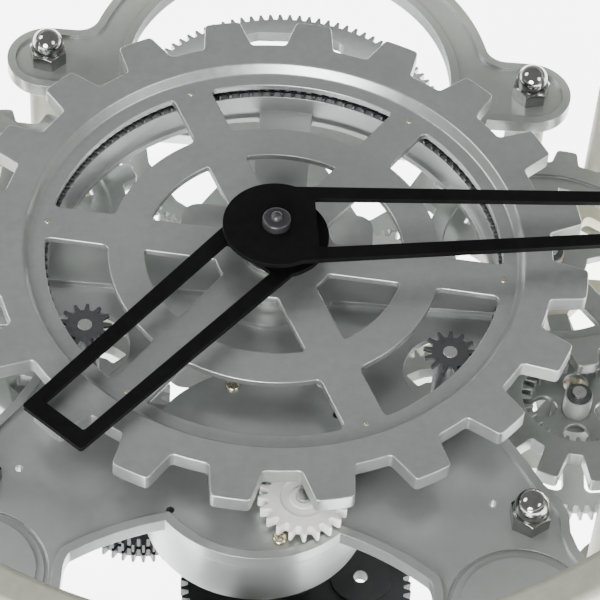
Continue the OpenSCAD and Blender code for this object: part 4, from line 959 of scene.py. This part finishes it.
@dataclass
class FrontPlate:
    """The pressed front plate with its arch, lip, pan, drum and fasteners."""

    low: float = 45.8
    top: float = 50.3
    panel_top: float = 49.3
    lip_w: float = 2.6
    share_r: float = 65.0
    skirt_r: float = 70.2
    foot_r: float = 135.0
    edge_shares: tuple[Point, ...] = (
        (0.9, -0.5), (1.039, -0.807), (1.121, -0.927), (1.188, -1.033), (1.256, -1.1),
        (1.294, -1.177), (1.299, -1.263), (1.328, -1.34), (1.362, -1.393), (1.62, -1.60))
    arch_y: float = 79.72
    arch_r: float = 61.9
    arch_hole_r: float = 49.2
    ear_at: Point = (73.45, 78.65)
    ear_r: float = 12.35
    ear_fillet: float = 6.5
    window_half_w: float = 48.5
    window_foot_y: float = -123.0
    window_arc_y: float = -162.5
    window_arc_r: float = 78.0
    window_corner: float = 4.0
    disc_at: Point = (71.5, -107.6)
    disc_r: float = 16.25
    disc_root: float = 1.0
    groove_inner_r: float = 18.4
    groove_outer_r: float = 19.5
    groove_deep: float = 0.7
    groove_sunk: float = 0.2
    drum_y: float = 66.3
    drum_r: float = 31.2
    drum_wall: float = 2.4
    drum_h: float = 16.0
    drum_sunk: float = 2.0
    drum_gap: float = 0.6
    collar_in_r: float = 64.1
    collar_out_r: float = 66.1
    collar_top: float = 55.45
    floor_t: float = 2.0
    beam_low: float = 46.3
    beam_top: float = 49.5
    beam_half_w: float = 8.1
    beam_root: float = 1.0
    arm_half_w: float = 7.8
    centre_r: float = 19.0
    pan_window_r: float = 63.0
    pan_window_corner: float = 1.5
    wedge_shares: tuple[Point, ...] = (
        (0.20, -0.50), (0.24, -0.62), (0.38, -0.74), (0.49, -0.73), (0.34, -0.50))
    pinion_hole_at: Point = (50.66, -29.25)
    pinion_hole_r: float = 12.35
    rod_r: float = 3.0
    arbor_hole_r: float = 4.0
    white_at: Point = (12.87, -80.38)
    peg_hole_r: float = 1.1
    peg_places: tuple[Point, ...] = ((20.5, -48.4), (-22.2, -83.8), (63.7, -74.1), (-63.7, -74.1))
    oil_hole_r: float = 2.0
    oil_hole_at: Point = (-32.4, -51.8)
    nut_flat_w: float = 10.0
    nut_h: float = 5.0
    nut_turn: float = 12.0
    chamfer_r: float = 4.9
    chamfer_skin: float = 0.01
    dome_r: float = 4.6
    dome_h: float = 6.9
    neck_root: float = 1.0
    screw_places: tuple[Point, Point] = ((-8.65, -41.15), (7.4, -90.7))
    screw_hole_r: float = 1.4
    screw_turns: tuple[float, float] = (20.0, 55.0)
    head_r: float = 2.1
    head_h: float = 1.3
    head_round: float = 0.8
    slot_half_l: float = 1.25
    slot_half_w: float = 0.3
    slot_floor: float = 0.55
    shank_r: float = 1.38
    shank_l: float = 5.2
    shank_root: float = 0.3

    @staticmethod
    def arc(centre: Point, radius: float, start: float, end: float, count: int) -> list[Point]:
        """Points along an arc, angles in degrees, both ends included."""
        spokes = [polar(radius, start + (end - start) * k / count) for k in range(count + 1)]
        return [(centre[0] + x, centre[1] + y) for x, y in spokes]

    @staticmethod
    def meet(inside: Point, outside: Point, radius: float) -> Point:
        """The point between two points that lies at a radius from the middle."""
        low, high = 0.0, 1.0
        for _ in range(40):
            share = (low + high) / 2
            point = tuple(a + (b - a) * share for a, b in zip(inside, outside))
            low, high = (share, high) if math.hypot(*point) < radius else (low, share)
        return point

    @staticmethod
    def angle(x: float, y: float) -> float:
        """The direction of a point, in degrees."""
        return math.degrees(math.atan2(y, x))

    def arch_meets(self, skirt: float, arch: float) -> Point:
        """Where the skirt's circle meets a circle about the arch's middle, on the right."""
        y = (skirt ** 2 - arch ** 2 + self.arch_y ** 2) / (2 * self.arch_y)
        return math.sqrt(skirt ** 2 - y ** 2), y

    def bolts(self) -> list[Point]:
        """The places of the four tie rods."""
        x, y = self.ear_at
        return [(px, py) for px in (-x, x) for py in (-y, y)]

    def on_drum(self, name: str, radius: float, low: float, high: float) -> Solid:
        """Adds a cylinder about the drum's axis."""
        return Bench.cylinder(name, radius, low, high, (0, -self.drum_y), 144)

    def shifted_edge(self, inset: float) -> list[Point]:
        """The cast outline below the right ear, from the skirt to the foot, moved inwards.

        Args:
            inset: How far the line is moved into the plate.

        Returns:
            Points from the skirt's circle to the foot's circle.
        """
        line = [(x * self.share_r, y * self.share_r) for x, y in self.edge_shares]
        normals = []
        for (x0, y0), (x1, y1) in zip(line, line[1:]):
            length = math.hypot(x1 - x0, y1 - y0)
            normals.append(((y1 - y0) / length, (x0 - x1) / length))
        moved = []
        for index, (x, y) in enumerate(line):
            before, after = normals[max(index - 1, 0)], normals[min(index, len(normals) - 1)]
            share = inset / (1 + before[0] * after[0] + before[1] * after[1])
            moved.append((x + (before[0] + after[0]) * share, y + (before[1] + after[1]) * share))
        neck = self.meet(moved[0], moved[1], self.skirt_r - inset)
        foot = self.meet(moved[-2], moved[-1], self.foot_r - inset)
        return [neck] + moved[1:-1] + [foot]

    def outline(self, inset: float = 0.0) -> list[Point]:
        """The plate's outline, anticlockwise from the foot, moved inwards by an inset."""
        skirt, arch, ear = self.skirt_r - inset, self.arch_r - inset, self.ear_r - inset
        edge = self.shifted_edge(inset)
        cross_x, cross_y = self.arch_meets(skirt, arch)
        right = self.arc((0, 0), self.foot_r - inset, -90, self.angle(*edge[-1]), 20)
        right += edge[-2:0:-1]
        right += self.arc((0, 0), skirt, self.angle(*edge[0]), self.angle(cross_x, cross_y), 40)
        y = self.ear_at[1]
        right += self.arc((0, self.arch_y), arch, self.angle(cross_x, cross_y - self.arch_y),
                          -math.degrees(math.asin((self.arch_y - y + ear) / arch)), 8)[1:]
        right += self.arc(self.ear_at, ear, -90, 90, 32)
        over = y + self.ear_r + self.ear_fillet
        reach = self.arch_r + self.ear_fillet
        lean = math.degrees(math.asin((over - self.arch_y) / reach))
        at = (math.sqrt(reach ** 2 - (over - self.arch_y) ** 2), over)
        right += self.arc(at, self.ear_fillet + inset, -90, lean - 180, 12)
        right += self.arc((0, self.arch_y), arch, lean, 90, 44)[1:]
        return right + [(-px, py) for px, py in reversed(right[1:-1])]

    def arch_opening(self, grow: float = 0.0) -> Solid:
        """Models the cutter of the arch's opening."""
        hole, skirt = self.arch_hole_r + grow, self.skirt_r - grow
        cross_x, cross_y = self.arch_meets(skirt, hole)
        start, low = self.angle(cross_x, cross_y - self.arch_y), self.angle(cross_x, cross_y)
        ring = self.arc((0, self.arch_y), hole, start, 180 - start, 128)
        ring += self.arc((0, 0), skirt, 180 - low, low, 40)[1:-1]
        return Bench.prism("arch_cutter", ring, self.low - OVER, self.top + 2 * OVER)

    def window(self, grow: float = 0.0) -> Solid:
        """Models the cutter of the bottom window, whose upper side follows the drum."""
        half, foot = self.window_half_w + grow, self.window_foot_y - grow
        arc_y, arc_r = self.window_arc_y, self.window_arc_r + grow
        roof = self.drum_r + self.drum_gap - grow
        gap = arc_y + self.drum_y
        cross = (arc_r ** 2 - roof ** 2 - arc_y ** 2 + self.drum_y ** 2) / (2 * (-gap))
        cross_x = math.sqrt(roof ** 2 - (cross + self.drum_y) ** 2)
        side_y = arc_y + math.sqrt(arc_r ** 2 - half ** 2)
        ring = [(half, foot)]
        ring += self.arc((0, arc_y), arc_r, self.angle(half, side_y - arc_y),
                         self.angle(cross_x, cross - arc_y), 16)
        drum = self.angle(cross_x, cross + self.drum_y)
        ring += self.arc((0, -self.drum_y), roof, drum, -180 - drum, 28)[1:]
        ring += [(-px, py) for px, py in reversed(ring[1:17])]
        ring += [(-half, foot)]
        cutter = Bench.prism("window_cutter", ring, self.low - OVER, self.top + 2 * OVER)

        def side_corner(edge: bmesh.types.BMEdge) -> bool:
            """True for the four upright edges at the window's sides."""
            a, b = (v.co for v in edge.verts)
            return abs(a.x - b.x) + abs(a.y - b.y) < 1e-7 and abs(abs(a.x) - half * MM) < 1e-6
        Bench.round_edges(cutter, side_corner, self.window_corner + grow, 6)
        return cutter

    def slab(self) -> Solid:
        """Models the plate's slab: outline, arch opening, bottom window and the panels inside the lip."""
        slab = Bench.prism("front_plate", self.outline(), self.low, self.top)
        Bench.cut(slab, self.arch_opening(), self.window())
        panels = Bench.prism("panels", self.outline(self.lip_w), self.panel_top, self.top + OVER)
        Bench.cut(panels, self.arch_opening(self.lip_w), self.window(self.lip_w))
        Bench.cut(slab, panels)
        return slab

    def discs(self, slab: Solid) -> None:
        """Adds the two raised discs at the foot, each in its narrow groove."""
        for at in ((-self.disc_at[0], self.disc_at[1]), self.disc_at):
            groove = Bench.cylinder("groove", self.groove_outer_r, self.panel_top - self.groove_deep,
                                    self.top - self.groove_sunk, at)
            Bench.cut(groove, Bench.cylinder("core", self.groove_inner_r, self.low, self.top + OVER, at))
            Bench.add(slab, Bench.cylinder("disc", self.disc_r, self.low + self.disc_root, self.top, at))
            Bench.cut(slab, groove)

    def pan(self, slab: Solid) -> None:
        """Adds the pan inside the collar, its beams, the collar itself and the drum's wall."""
        sides = 216
        Bench.bore(slab, self.collar_in_r, self.low, self.top, sides=sides)
        collar = Bench.cylinder("collar", self.collar_out_r, self.low, self.collar_top, sides=sides)
        Bench.cut(collar, Bench.cylinder("inside", self.collar_in_r, self.low + self.floor_t,
                                         self.collar_top + OVER, sides=sides))
        reach = self.collar_in_r + self.beam_root
        low, top = self.beam_low, self.beam_top
        half, arm_half = self.beam_half_w, self.arm_half_w
        beams = Bench.prism("beam", [(-reach, -half), (reach, -half), (reach, half), (-reach, half)],
                            low, top)
        arm = Bench.prism("arm", [(-arm_half, 0), (arm_half, 0), (arm_half, reach), (-arm_half, reach)],
                          low, top)
        Bench.add(beams, arm, Bench.cylinder("centre", self.centre_r, low, top),
                  self.on_drum("drum_top", self.drum_r, low, top))
        bound = Bench.cylinder("bound", reach, self.low - OVER, self.top + OVER, sides=sides)
        Bench.combine(beams, bound, "INTERSECT")
        Bench.add(collar, beams)
        self.open_pan(collar)
        Bench.add(slab, collar)
        drum_low = self.low - self.drum_h
        drum = self.on_drum("drum", self.drum_r, drum_low, self.top - self.drum_sunk)
        Bench.cut(drum, self.on_drum("motor_room", self.drum_r - self.drum_wall, drum_low - OVER, self.top))
        Bench.add(slab, drum)

    def open_pan(self, collar: Solid) -> None:
        """Cuts the pan's two upper windows and the two wedges beside the drum."""
        low, high = self.low - OVER, self.top + OVER
        window = Bench.cylinder("window", self.pan_window_r, low, high, sides=192)
        for at, away in (((self.arm_half_w, 0), (-1, 0)), ((0, self.beam_half_w), (0, -1))):
            Bench.slice(window, at, away)
        Bench.bore(window, self.centre_r, low, high)
        Bench.round_uprights(window, self.pan_window_corner)
        corners = [(x * self.share_r, y * self.share_r) for x, y in self.wedge_shares]
        wedge = Bench.prism("wedge", corners, low, high)
        Bench.cut(wedge, self.on_drum("roof", self.drum_r + self.drum_gap, low - OVER, high + OVER))
        for cutter in (window, wedge):
            Bench.cut(collar, cutter, Bench.mirrored(cutter, "left_cutter"))

    def holes(self, slab: Solid) -> None:
        """Cuts the round holes."""
        x, y = self.pinion_hole_at
        places = [((px, y), self.pinion_hole_r, 96) for px in (-x, x)]
        places += [(at, self.rod_r, 48) for at in self.bolts()]
        places += [(at, self.screw_hole_r, 24) for at in self.screw_places]
        places += [(at, self.peg_hole_r, 24) for at in self.peg_places]
        places += [(at, self.arbor_hole_r, 48) for at in (self.white_at, (0, 0))]
        places += [(self.oil_hole_at, self.oil_hole_r, 32)]
        for at, radius, sides in places:
            Bench.bore(slab, radius, self.low, self.top, at, sides)

    def plate(self) -> Solid:
        """Models the whole plate."""
        Bench.solver = "MANIFOLD"
        slab = self.slab()
        self.discs(slab)
        self.pan(slab)
        self.holes(slab)
        Bench.solver = "EXACT"
        Bench.finish(slab)
        return slab

    def nuts(self) -> Solid:
        """Models the dome nuts: chamfered hexagon, neck and ball end. Each stands at a turn of its own."""
        nuts = []
        corner_r = self.nut_flat_w / math.sqrt(3)
        base, top = self.panel_top, self.panel_top + self.nut_h
        for at in self.bolts():
            nut = Bench.cylinder("nut", corner_r, base, top, at, 6, turn=self.nut_turn + at[0] + at[1])
            chamfer = Bench.cylinder("chamfer", corner_r + self.nut_h, base - self.chamfer_skin,
                                     base + (self.nut_h + self.chamfer_skin), at, 64, top=self.chamfer_r)
            Bench.combine(nut, chamfer, "INTERSECT")
            middle = base + self.dome_h
            Bench.add(nut, Bench.cylinder("neck", self.dome_r, base + self.neck_root, middle, at, 64),
                      Bench.ball("dome", self.dome_r, (*at, middle)))
            Bench.cut(nut, Bench.cylinder("thread", self.rod_r, base - OVER, top, at, 32))
            Bench.finish(nut)
            nuts.append(nut)
        return Bench.join(nuts, "domed_nuts")

    def screws(self) -> Solid:
        """Models the two cross-head screws."""
        screws = []
        low = self.panel_top
        half_l, half_w = self.slot_half_l, self.slot_half_w
        for (x, y), turn in zip(self.screw_places, self.screw_turns):
            screw = Bench.cylinder("screw", self.head_r, low, low + self.head_h, (x, y), 48)
            Bench.round_top(screw, low + self.head_h, self.head_round, 5)
            for slot_turn in (turn, turn + 90):
                along, across = polar(1, slot_turn), polar(1, slot_turn + 90)
                corners = ((-half_l, -half_w), (half_l, -half_w), (half_l, half_w), (-half_l, half_w))
                ring = [(x + along[0] * u + across[0] * v, y + along[1] * u + across[1] * v)
                        for u, v in corners]
                Bench.cut(screw, Bench.prism("slot", ring, low + self.slot_floor, low + 2 * OVER))
            Bench.add(screw, Bench.cylinder("shank", self.shank_r, low - self.shank_l, low + self.shank_root,
                                            (x, y), 32))
            Bench.finish(screw)
            screws.append(screw)
        return Bench.join(screws, "cross_head_screws")

    def build(self, fitter: Fitter) -> None:
        """Models and fits its pieces."""
        fitter.fit(self.plate(), "bridge_plate", Finish.SILVER)
        fitter.fit(self.nuts(), "dome_nuts", Finish.CHROME)
        fitter.fit(self.screws(), "motor_screws", Finish.NICKEL)


@dataclass(frozen=True)
class Pointer:
    """What differs between the two hands.

    Args:
        name: The piece's name.
        node: The node that it stands for.
        length: From the axis to the tip.
        hub_half: Half width at the axis.
        tip_half: Half width at the tip.
        low: Height of its back face.
        clock_angle: Clockwise from twelve, in degrees.
        bore_r: Radius of its bore.
    """

    name: str
    node: str
    length: float
    hub_half: float
    tip_half: float
    low: float
    clock_angle: float
    bore_r: float


@dataclass
class Hands:
    """The two skeleton hands and the small nut that holds them."""

    hour: Pointer = Pointer("hour_pointer", "hour_hand", length=91, hub_half=13.0, tip_half=10.7, low=65.6,
                            clock_angle=217, bore_r=2.6)
    minute: Pointer = Pointer("minute_pointer", "minute_hand", length=127, hub_half=13.9, tip_half=8.4,
                              low=70.2, clock_angle=83, bore_r=1.65)
    hub_r: float = 15.0
    thick: float = 1.5
    corner: float = 0.8
    rail: float = 4.9
    tip_rail_share: float = 0.75
    slot_start: float = 11.4
    slot_corner: float = 0.7
    cap_r: float = 4.0
    cap_h: float = 2.6
    cap_round: float = 0.7
    cap_dome_r: float = 1.75
    cap_bore_h: float = 2.0

    def hand(self, sizes: Pointer) -> Solid:
        """Models one hand: a round hub, two rails and a flat tip.

        Args:
            sizes: What sets this hand apart.

        Returns:
            The hand, turned to its hour.
        """
        low, high = sizes.low, sizes.low + self.thick
        length, hub_half, tip_half = sizes.length, sizes.hub_half, sizes.tip_half
        ring = [(0, -hub_half), (length, -tip_half), (length, tip_half), (0, hub_half)]
        piece = Bench.prism(sizes.name, ring, low, high)
        Bench.round_uprights(piece, self.corner)
        Bench.add(piece, Bench.cylinder("hub", self.hub_r, low, high, sides=120))
        end, tip_rail = length - self.rail, self.rail * self.tip_rail_share
        slot = Bench.prism("slot", [(self.slot_start, self.rail - hub_half), (end, tip_rail - tip_half),
                                    (end, tip_half - tip_rail), (self.slot_start, hub_half - self.rail)],
                           low - OVER, high + OVER)
        Bench.round_uprights(slot, self.slot_corner)
        Bench.cut(piece, slot)
        Bench.bore(piece, sizes.bore_r, low, high, sides=48)
        Bench.finish(piece)
        Bench.turn(piece, 90 - sizes.clock_angle)
        return piece

    def cap(self) -> Solid:
        """Models the small round nut with its domed end."""
        low = self.minute.low + self.thick
        top = low + self.cap_h
        piece = Bench.cylinder("hand_nut", self.cap_r, low, top, sides=64)
        Bench.round_top(piece, top, self.cap_round, 4)
        Bench.add(piece, Bench.ball("dome", self.cap_dome_r, (0, 0, top)))
        Bench.cut(piece, Bench.cylinder("bore", self.minute.bore_r, low - OVER, low + self.cap_bore_h,
                                        sides=32))
        Bench.finish(piece)
        return piece

    def build(self, fitter: Fitter) -> None:
        """Models and fits its pieces."""
        for sizes in (self.hour, self.minute):
            fitter.fit(self.hand(sizes), sizes.node, Finish.BLACK)
        fitter.fit(self.cap(), "cap_nut", Finish.DARK)


@dataclass
class Rim:
    """The round front rim."""

    outer_r: float = 150.0
    inner_r: float = 139.0
    low: float = 73.0
    high: float = 82.0
    round_r: float = 2.5
    sides: int = 288
    near: float = 0.002
    top_skin: float = 0.01
    sharp_angle: float = 60.0

    def build(self, fitter: Fitter) -> None:
        """Models the rim as a ring with rounded front edges and fits it."""
        piece = Bench.cylinder("round_rim", self.outer_r, self.low, self.high, sides=self.sides)
        Bench.bore(piece, self.inner_r, self.low, self.high, sides=self.sides)
        Bench.tidy(piece, self.near)

        def front_edge(edge: bmesh.types.BMEdge) -> bool:
            """True for the two circles of the front face."""
            sharp = math.radians(self.sharp_angle)
            return (all(v.co.z > (self.high - self.top_skin) * MM for v in edge.verts)
                    and len(edge.link_faces) == 2 and edge.calc_face_angle(0) > sharp)
        Bench.round_edges(piece, front_edge, self.round_r, 6)
        Bench.finish(piece, edge=0.4)
        fitter.fit(piece, "rim", Finish.CREAM)


class PackedParts:
    """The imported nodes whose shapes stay, and their finishes."""

    FINISHES = {
        Finish.CREAM: ("rim_posts", "pillars"),
        Finish.SILVER: ("rim_brackets", "back_plate", "motor_bracket"),
        Finish.GEAR_SILVER: ("top_gear",),
        Finish.NICKEL: ("rim_screws",),
        Finish.RUBBER: ("wall_pads",),
        Finish.STEEL: ("tie_rods", "output_arbor", "gear_studs", "centre_post", "hour_tube", "minute_arbor",
                       "main_hub_bush", "movement_nut"),
        Finish.DARK_STEEL: ("stud_clips", "motor", "drive_ring", "left_small_pinion", "right_small_pinion"),
        Finish.BRASS: ("output_bush", "movement_bush"),
        Finish.IVORY: ("motor_pinion", "left_side_wheel", "right_side_wheel"),
        Finish.DARK: ("reduction_gear", "output_wheel", "set_knob"),
        Finish.GREY: ("left_slotted_wheel", "right_slotted_wheel", "left_lower_wheel", "right_lower_wheel",
                      "movement_case"),
        Finish.WHITE: ("left_idler", "right_idler"),
        Finish.CASE: ("battery_box", "battery_lid"),
        Finish.WRAPPER: ("movement_cell", "motor_cells"),
    }

    def build(self, fitter: Fitter) -> None:
        """Dresses every node that no new piece stands for."""
        for finish, nodes in self.FINISHES.items():
            for node in nodes:
                fitter.dress(node, finish)


# Scene round the clock

@dataclass(frozen=True)
class Lamp:
    """One soft round light: name, place and size in metres, power in watts."""

    name: str
    at: tuple[float, float, float]
    size: float
    power: float


@dataclass
class Studio:
    """Pale floor, soft light and the camera at the photograph's place. Places are in metres."""

    eye: tuple[float, float, float] = (0.00596, -0.4953, 0.6407)
    forward: tuple[float, float, float] = (0.0029, 0.6355, -0.7721)
    up: tuple[float, float, float] = (-0.0745, 0.7701, 0.6335)
    lens: float = 162.1
    sensor_w: float = 36.0
    lamps: tuple[Lamp, ...] = (Lamp("front_light", (-0.4, -1.7, 0.7), 1.1, 80),
                               Lamp("side_light", (1.4, -0.7, 1.1), 0.8, 12),
                               Lamp("sky_light", (-1.4, 0.3, 1.3), 0.8, 16))
    aim: tuple[float, float, float] = (0.0, 0.0, 0.03)
    sky: float = 0.42
    floor_size: float = 8.0
    floor_drop: float = 0.0002
    floor_glow: float = 6.0

    def floor(self) -> None:
        """Makes the floor that the clock lies on."""
        Bench.clear()
        bpy.ops.mesh.primitive_grid_add(x_subdivisions=8, y_subdivisions=8, size=self.floor_size,
                                        location=(0, 0, -self.floor_drop))
        floor = Bench.settle("floor")
        sheet = Sheet("floor_paint")
        cloud = sheet.noise(90, 2)
        sheet.set(Base_Color=sheet.blend(cloud, (0.80, 0.80, 0.80), (0.84, 0.84, 0.835)), Roughness=0.75)
        sheet.surface.inputs["Emission Color"].default_value = (1, 1, 1, 1)
        sheet.surface.inputs["Emission Strength"].default_value = self.floor_glow
        floor.data.materials.append(sheet.material)

    def light(self, lamp: Lamp) -> None:
        """Adds one soft light that points at the clock."""
        Bench.clear()
        bpy.ops.object.light_add(type="AREA", location=lamp.at)
        light = bpy.context.active_object
        light.name = lamp.name
        light.data.shape, light.data.size, light.data.energy = "DISK", lamp.size, lamp.power
        light.rotation_mode = "QUATERNION"
        light.rotation_quaternion = (Vector(self.aim) - Vector(lamp.at)).to_track_quat("-Z", "Y")

    def camera(self) -> None:
        """Places the camera as the photograph's."""
        lens = bpy.data.cameras.new("camera")
        lens.lens, lens.sensor_width, lens.clip_start, lens.clip_end = self.lens, self.sensor_w, 0.01, 50
        camera = bpy.data.objects.new("camera", lens)
        bpy.context.scene.collection.objects.link(camera)
        ahead = Vector(self.forward).normalized()
        right = ahead.cross(Vector(self.up)).normalized()
        top = right.cross(ahead)
        turn = Matrix((right, top, -ahead)).transposed().to_4x4()
        camera.matrix_world = Matrix.Translation(self.eye) @ turn
        bpy.context.scene.camera = camera

    def build(self) -> None:
        """Makes floor, lights, world and camera."""
        self.floor()
        for lamp in self.lamps:
            self.light(lamp)
        world = bpy.data.worlds.new("studio")
        world.use_nodes = True
        background = world.node_tree.nodes["Background"]
        background.inputs["Color"].default_value = (1, 1, 1, 1)
        background.inputs["Strength"].default_value = self.sky
        bpy.context.scene.world = world
        self.camera()


def main() -> None:
    """Builds every piece in order, then the scene round them."""
    logging.basicConfig(level=logging.INFO, format="%(message)s")
    fitter = Fitter()
    for assembly in (Rim(), FrontPlate(), MainWheel(), SideGears(), Hands(), PackedParts()):
        log.info("building %s", type(assembly).__name__)
        assembly.build(fitter)
    Studio().build()
    Bench.clear()
    bpy.context.view_layer.update()


if __name__ == "__main__":
    main()
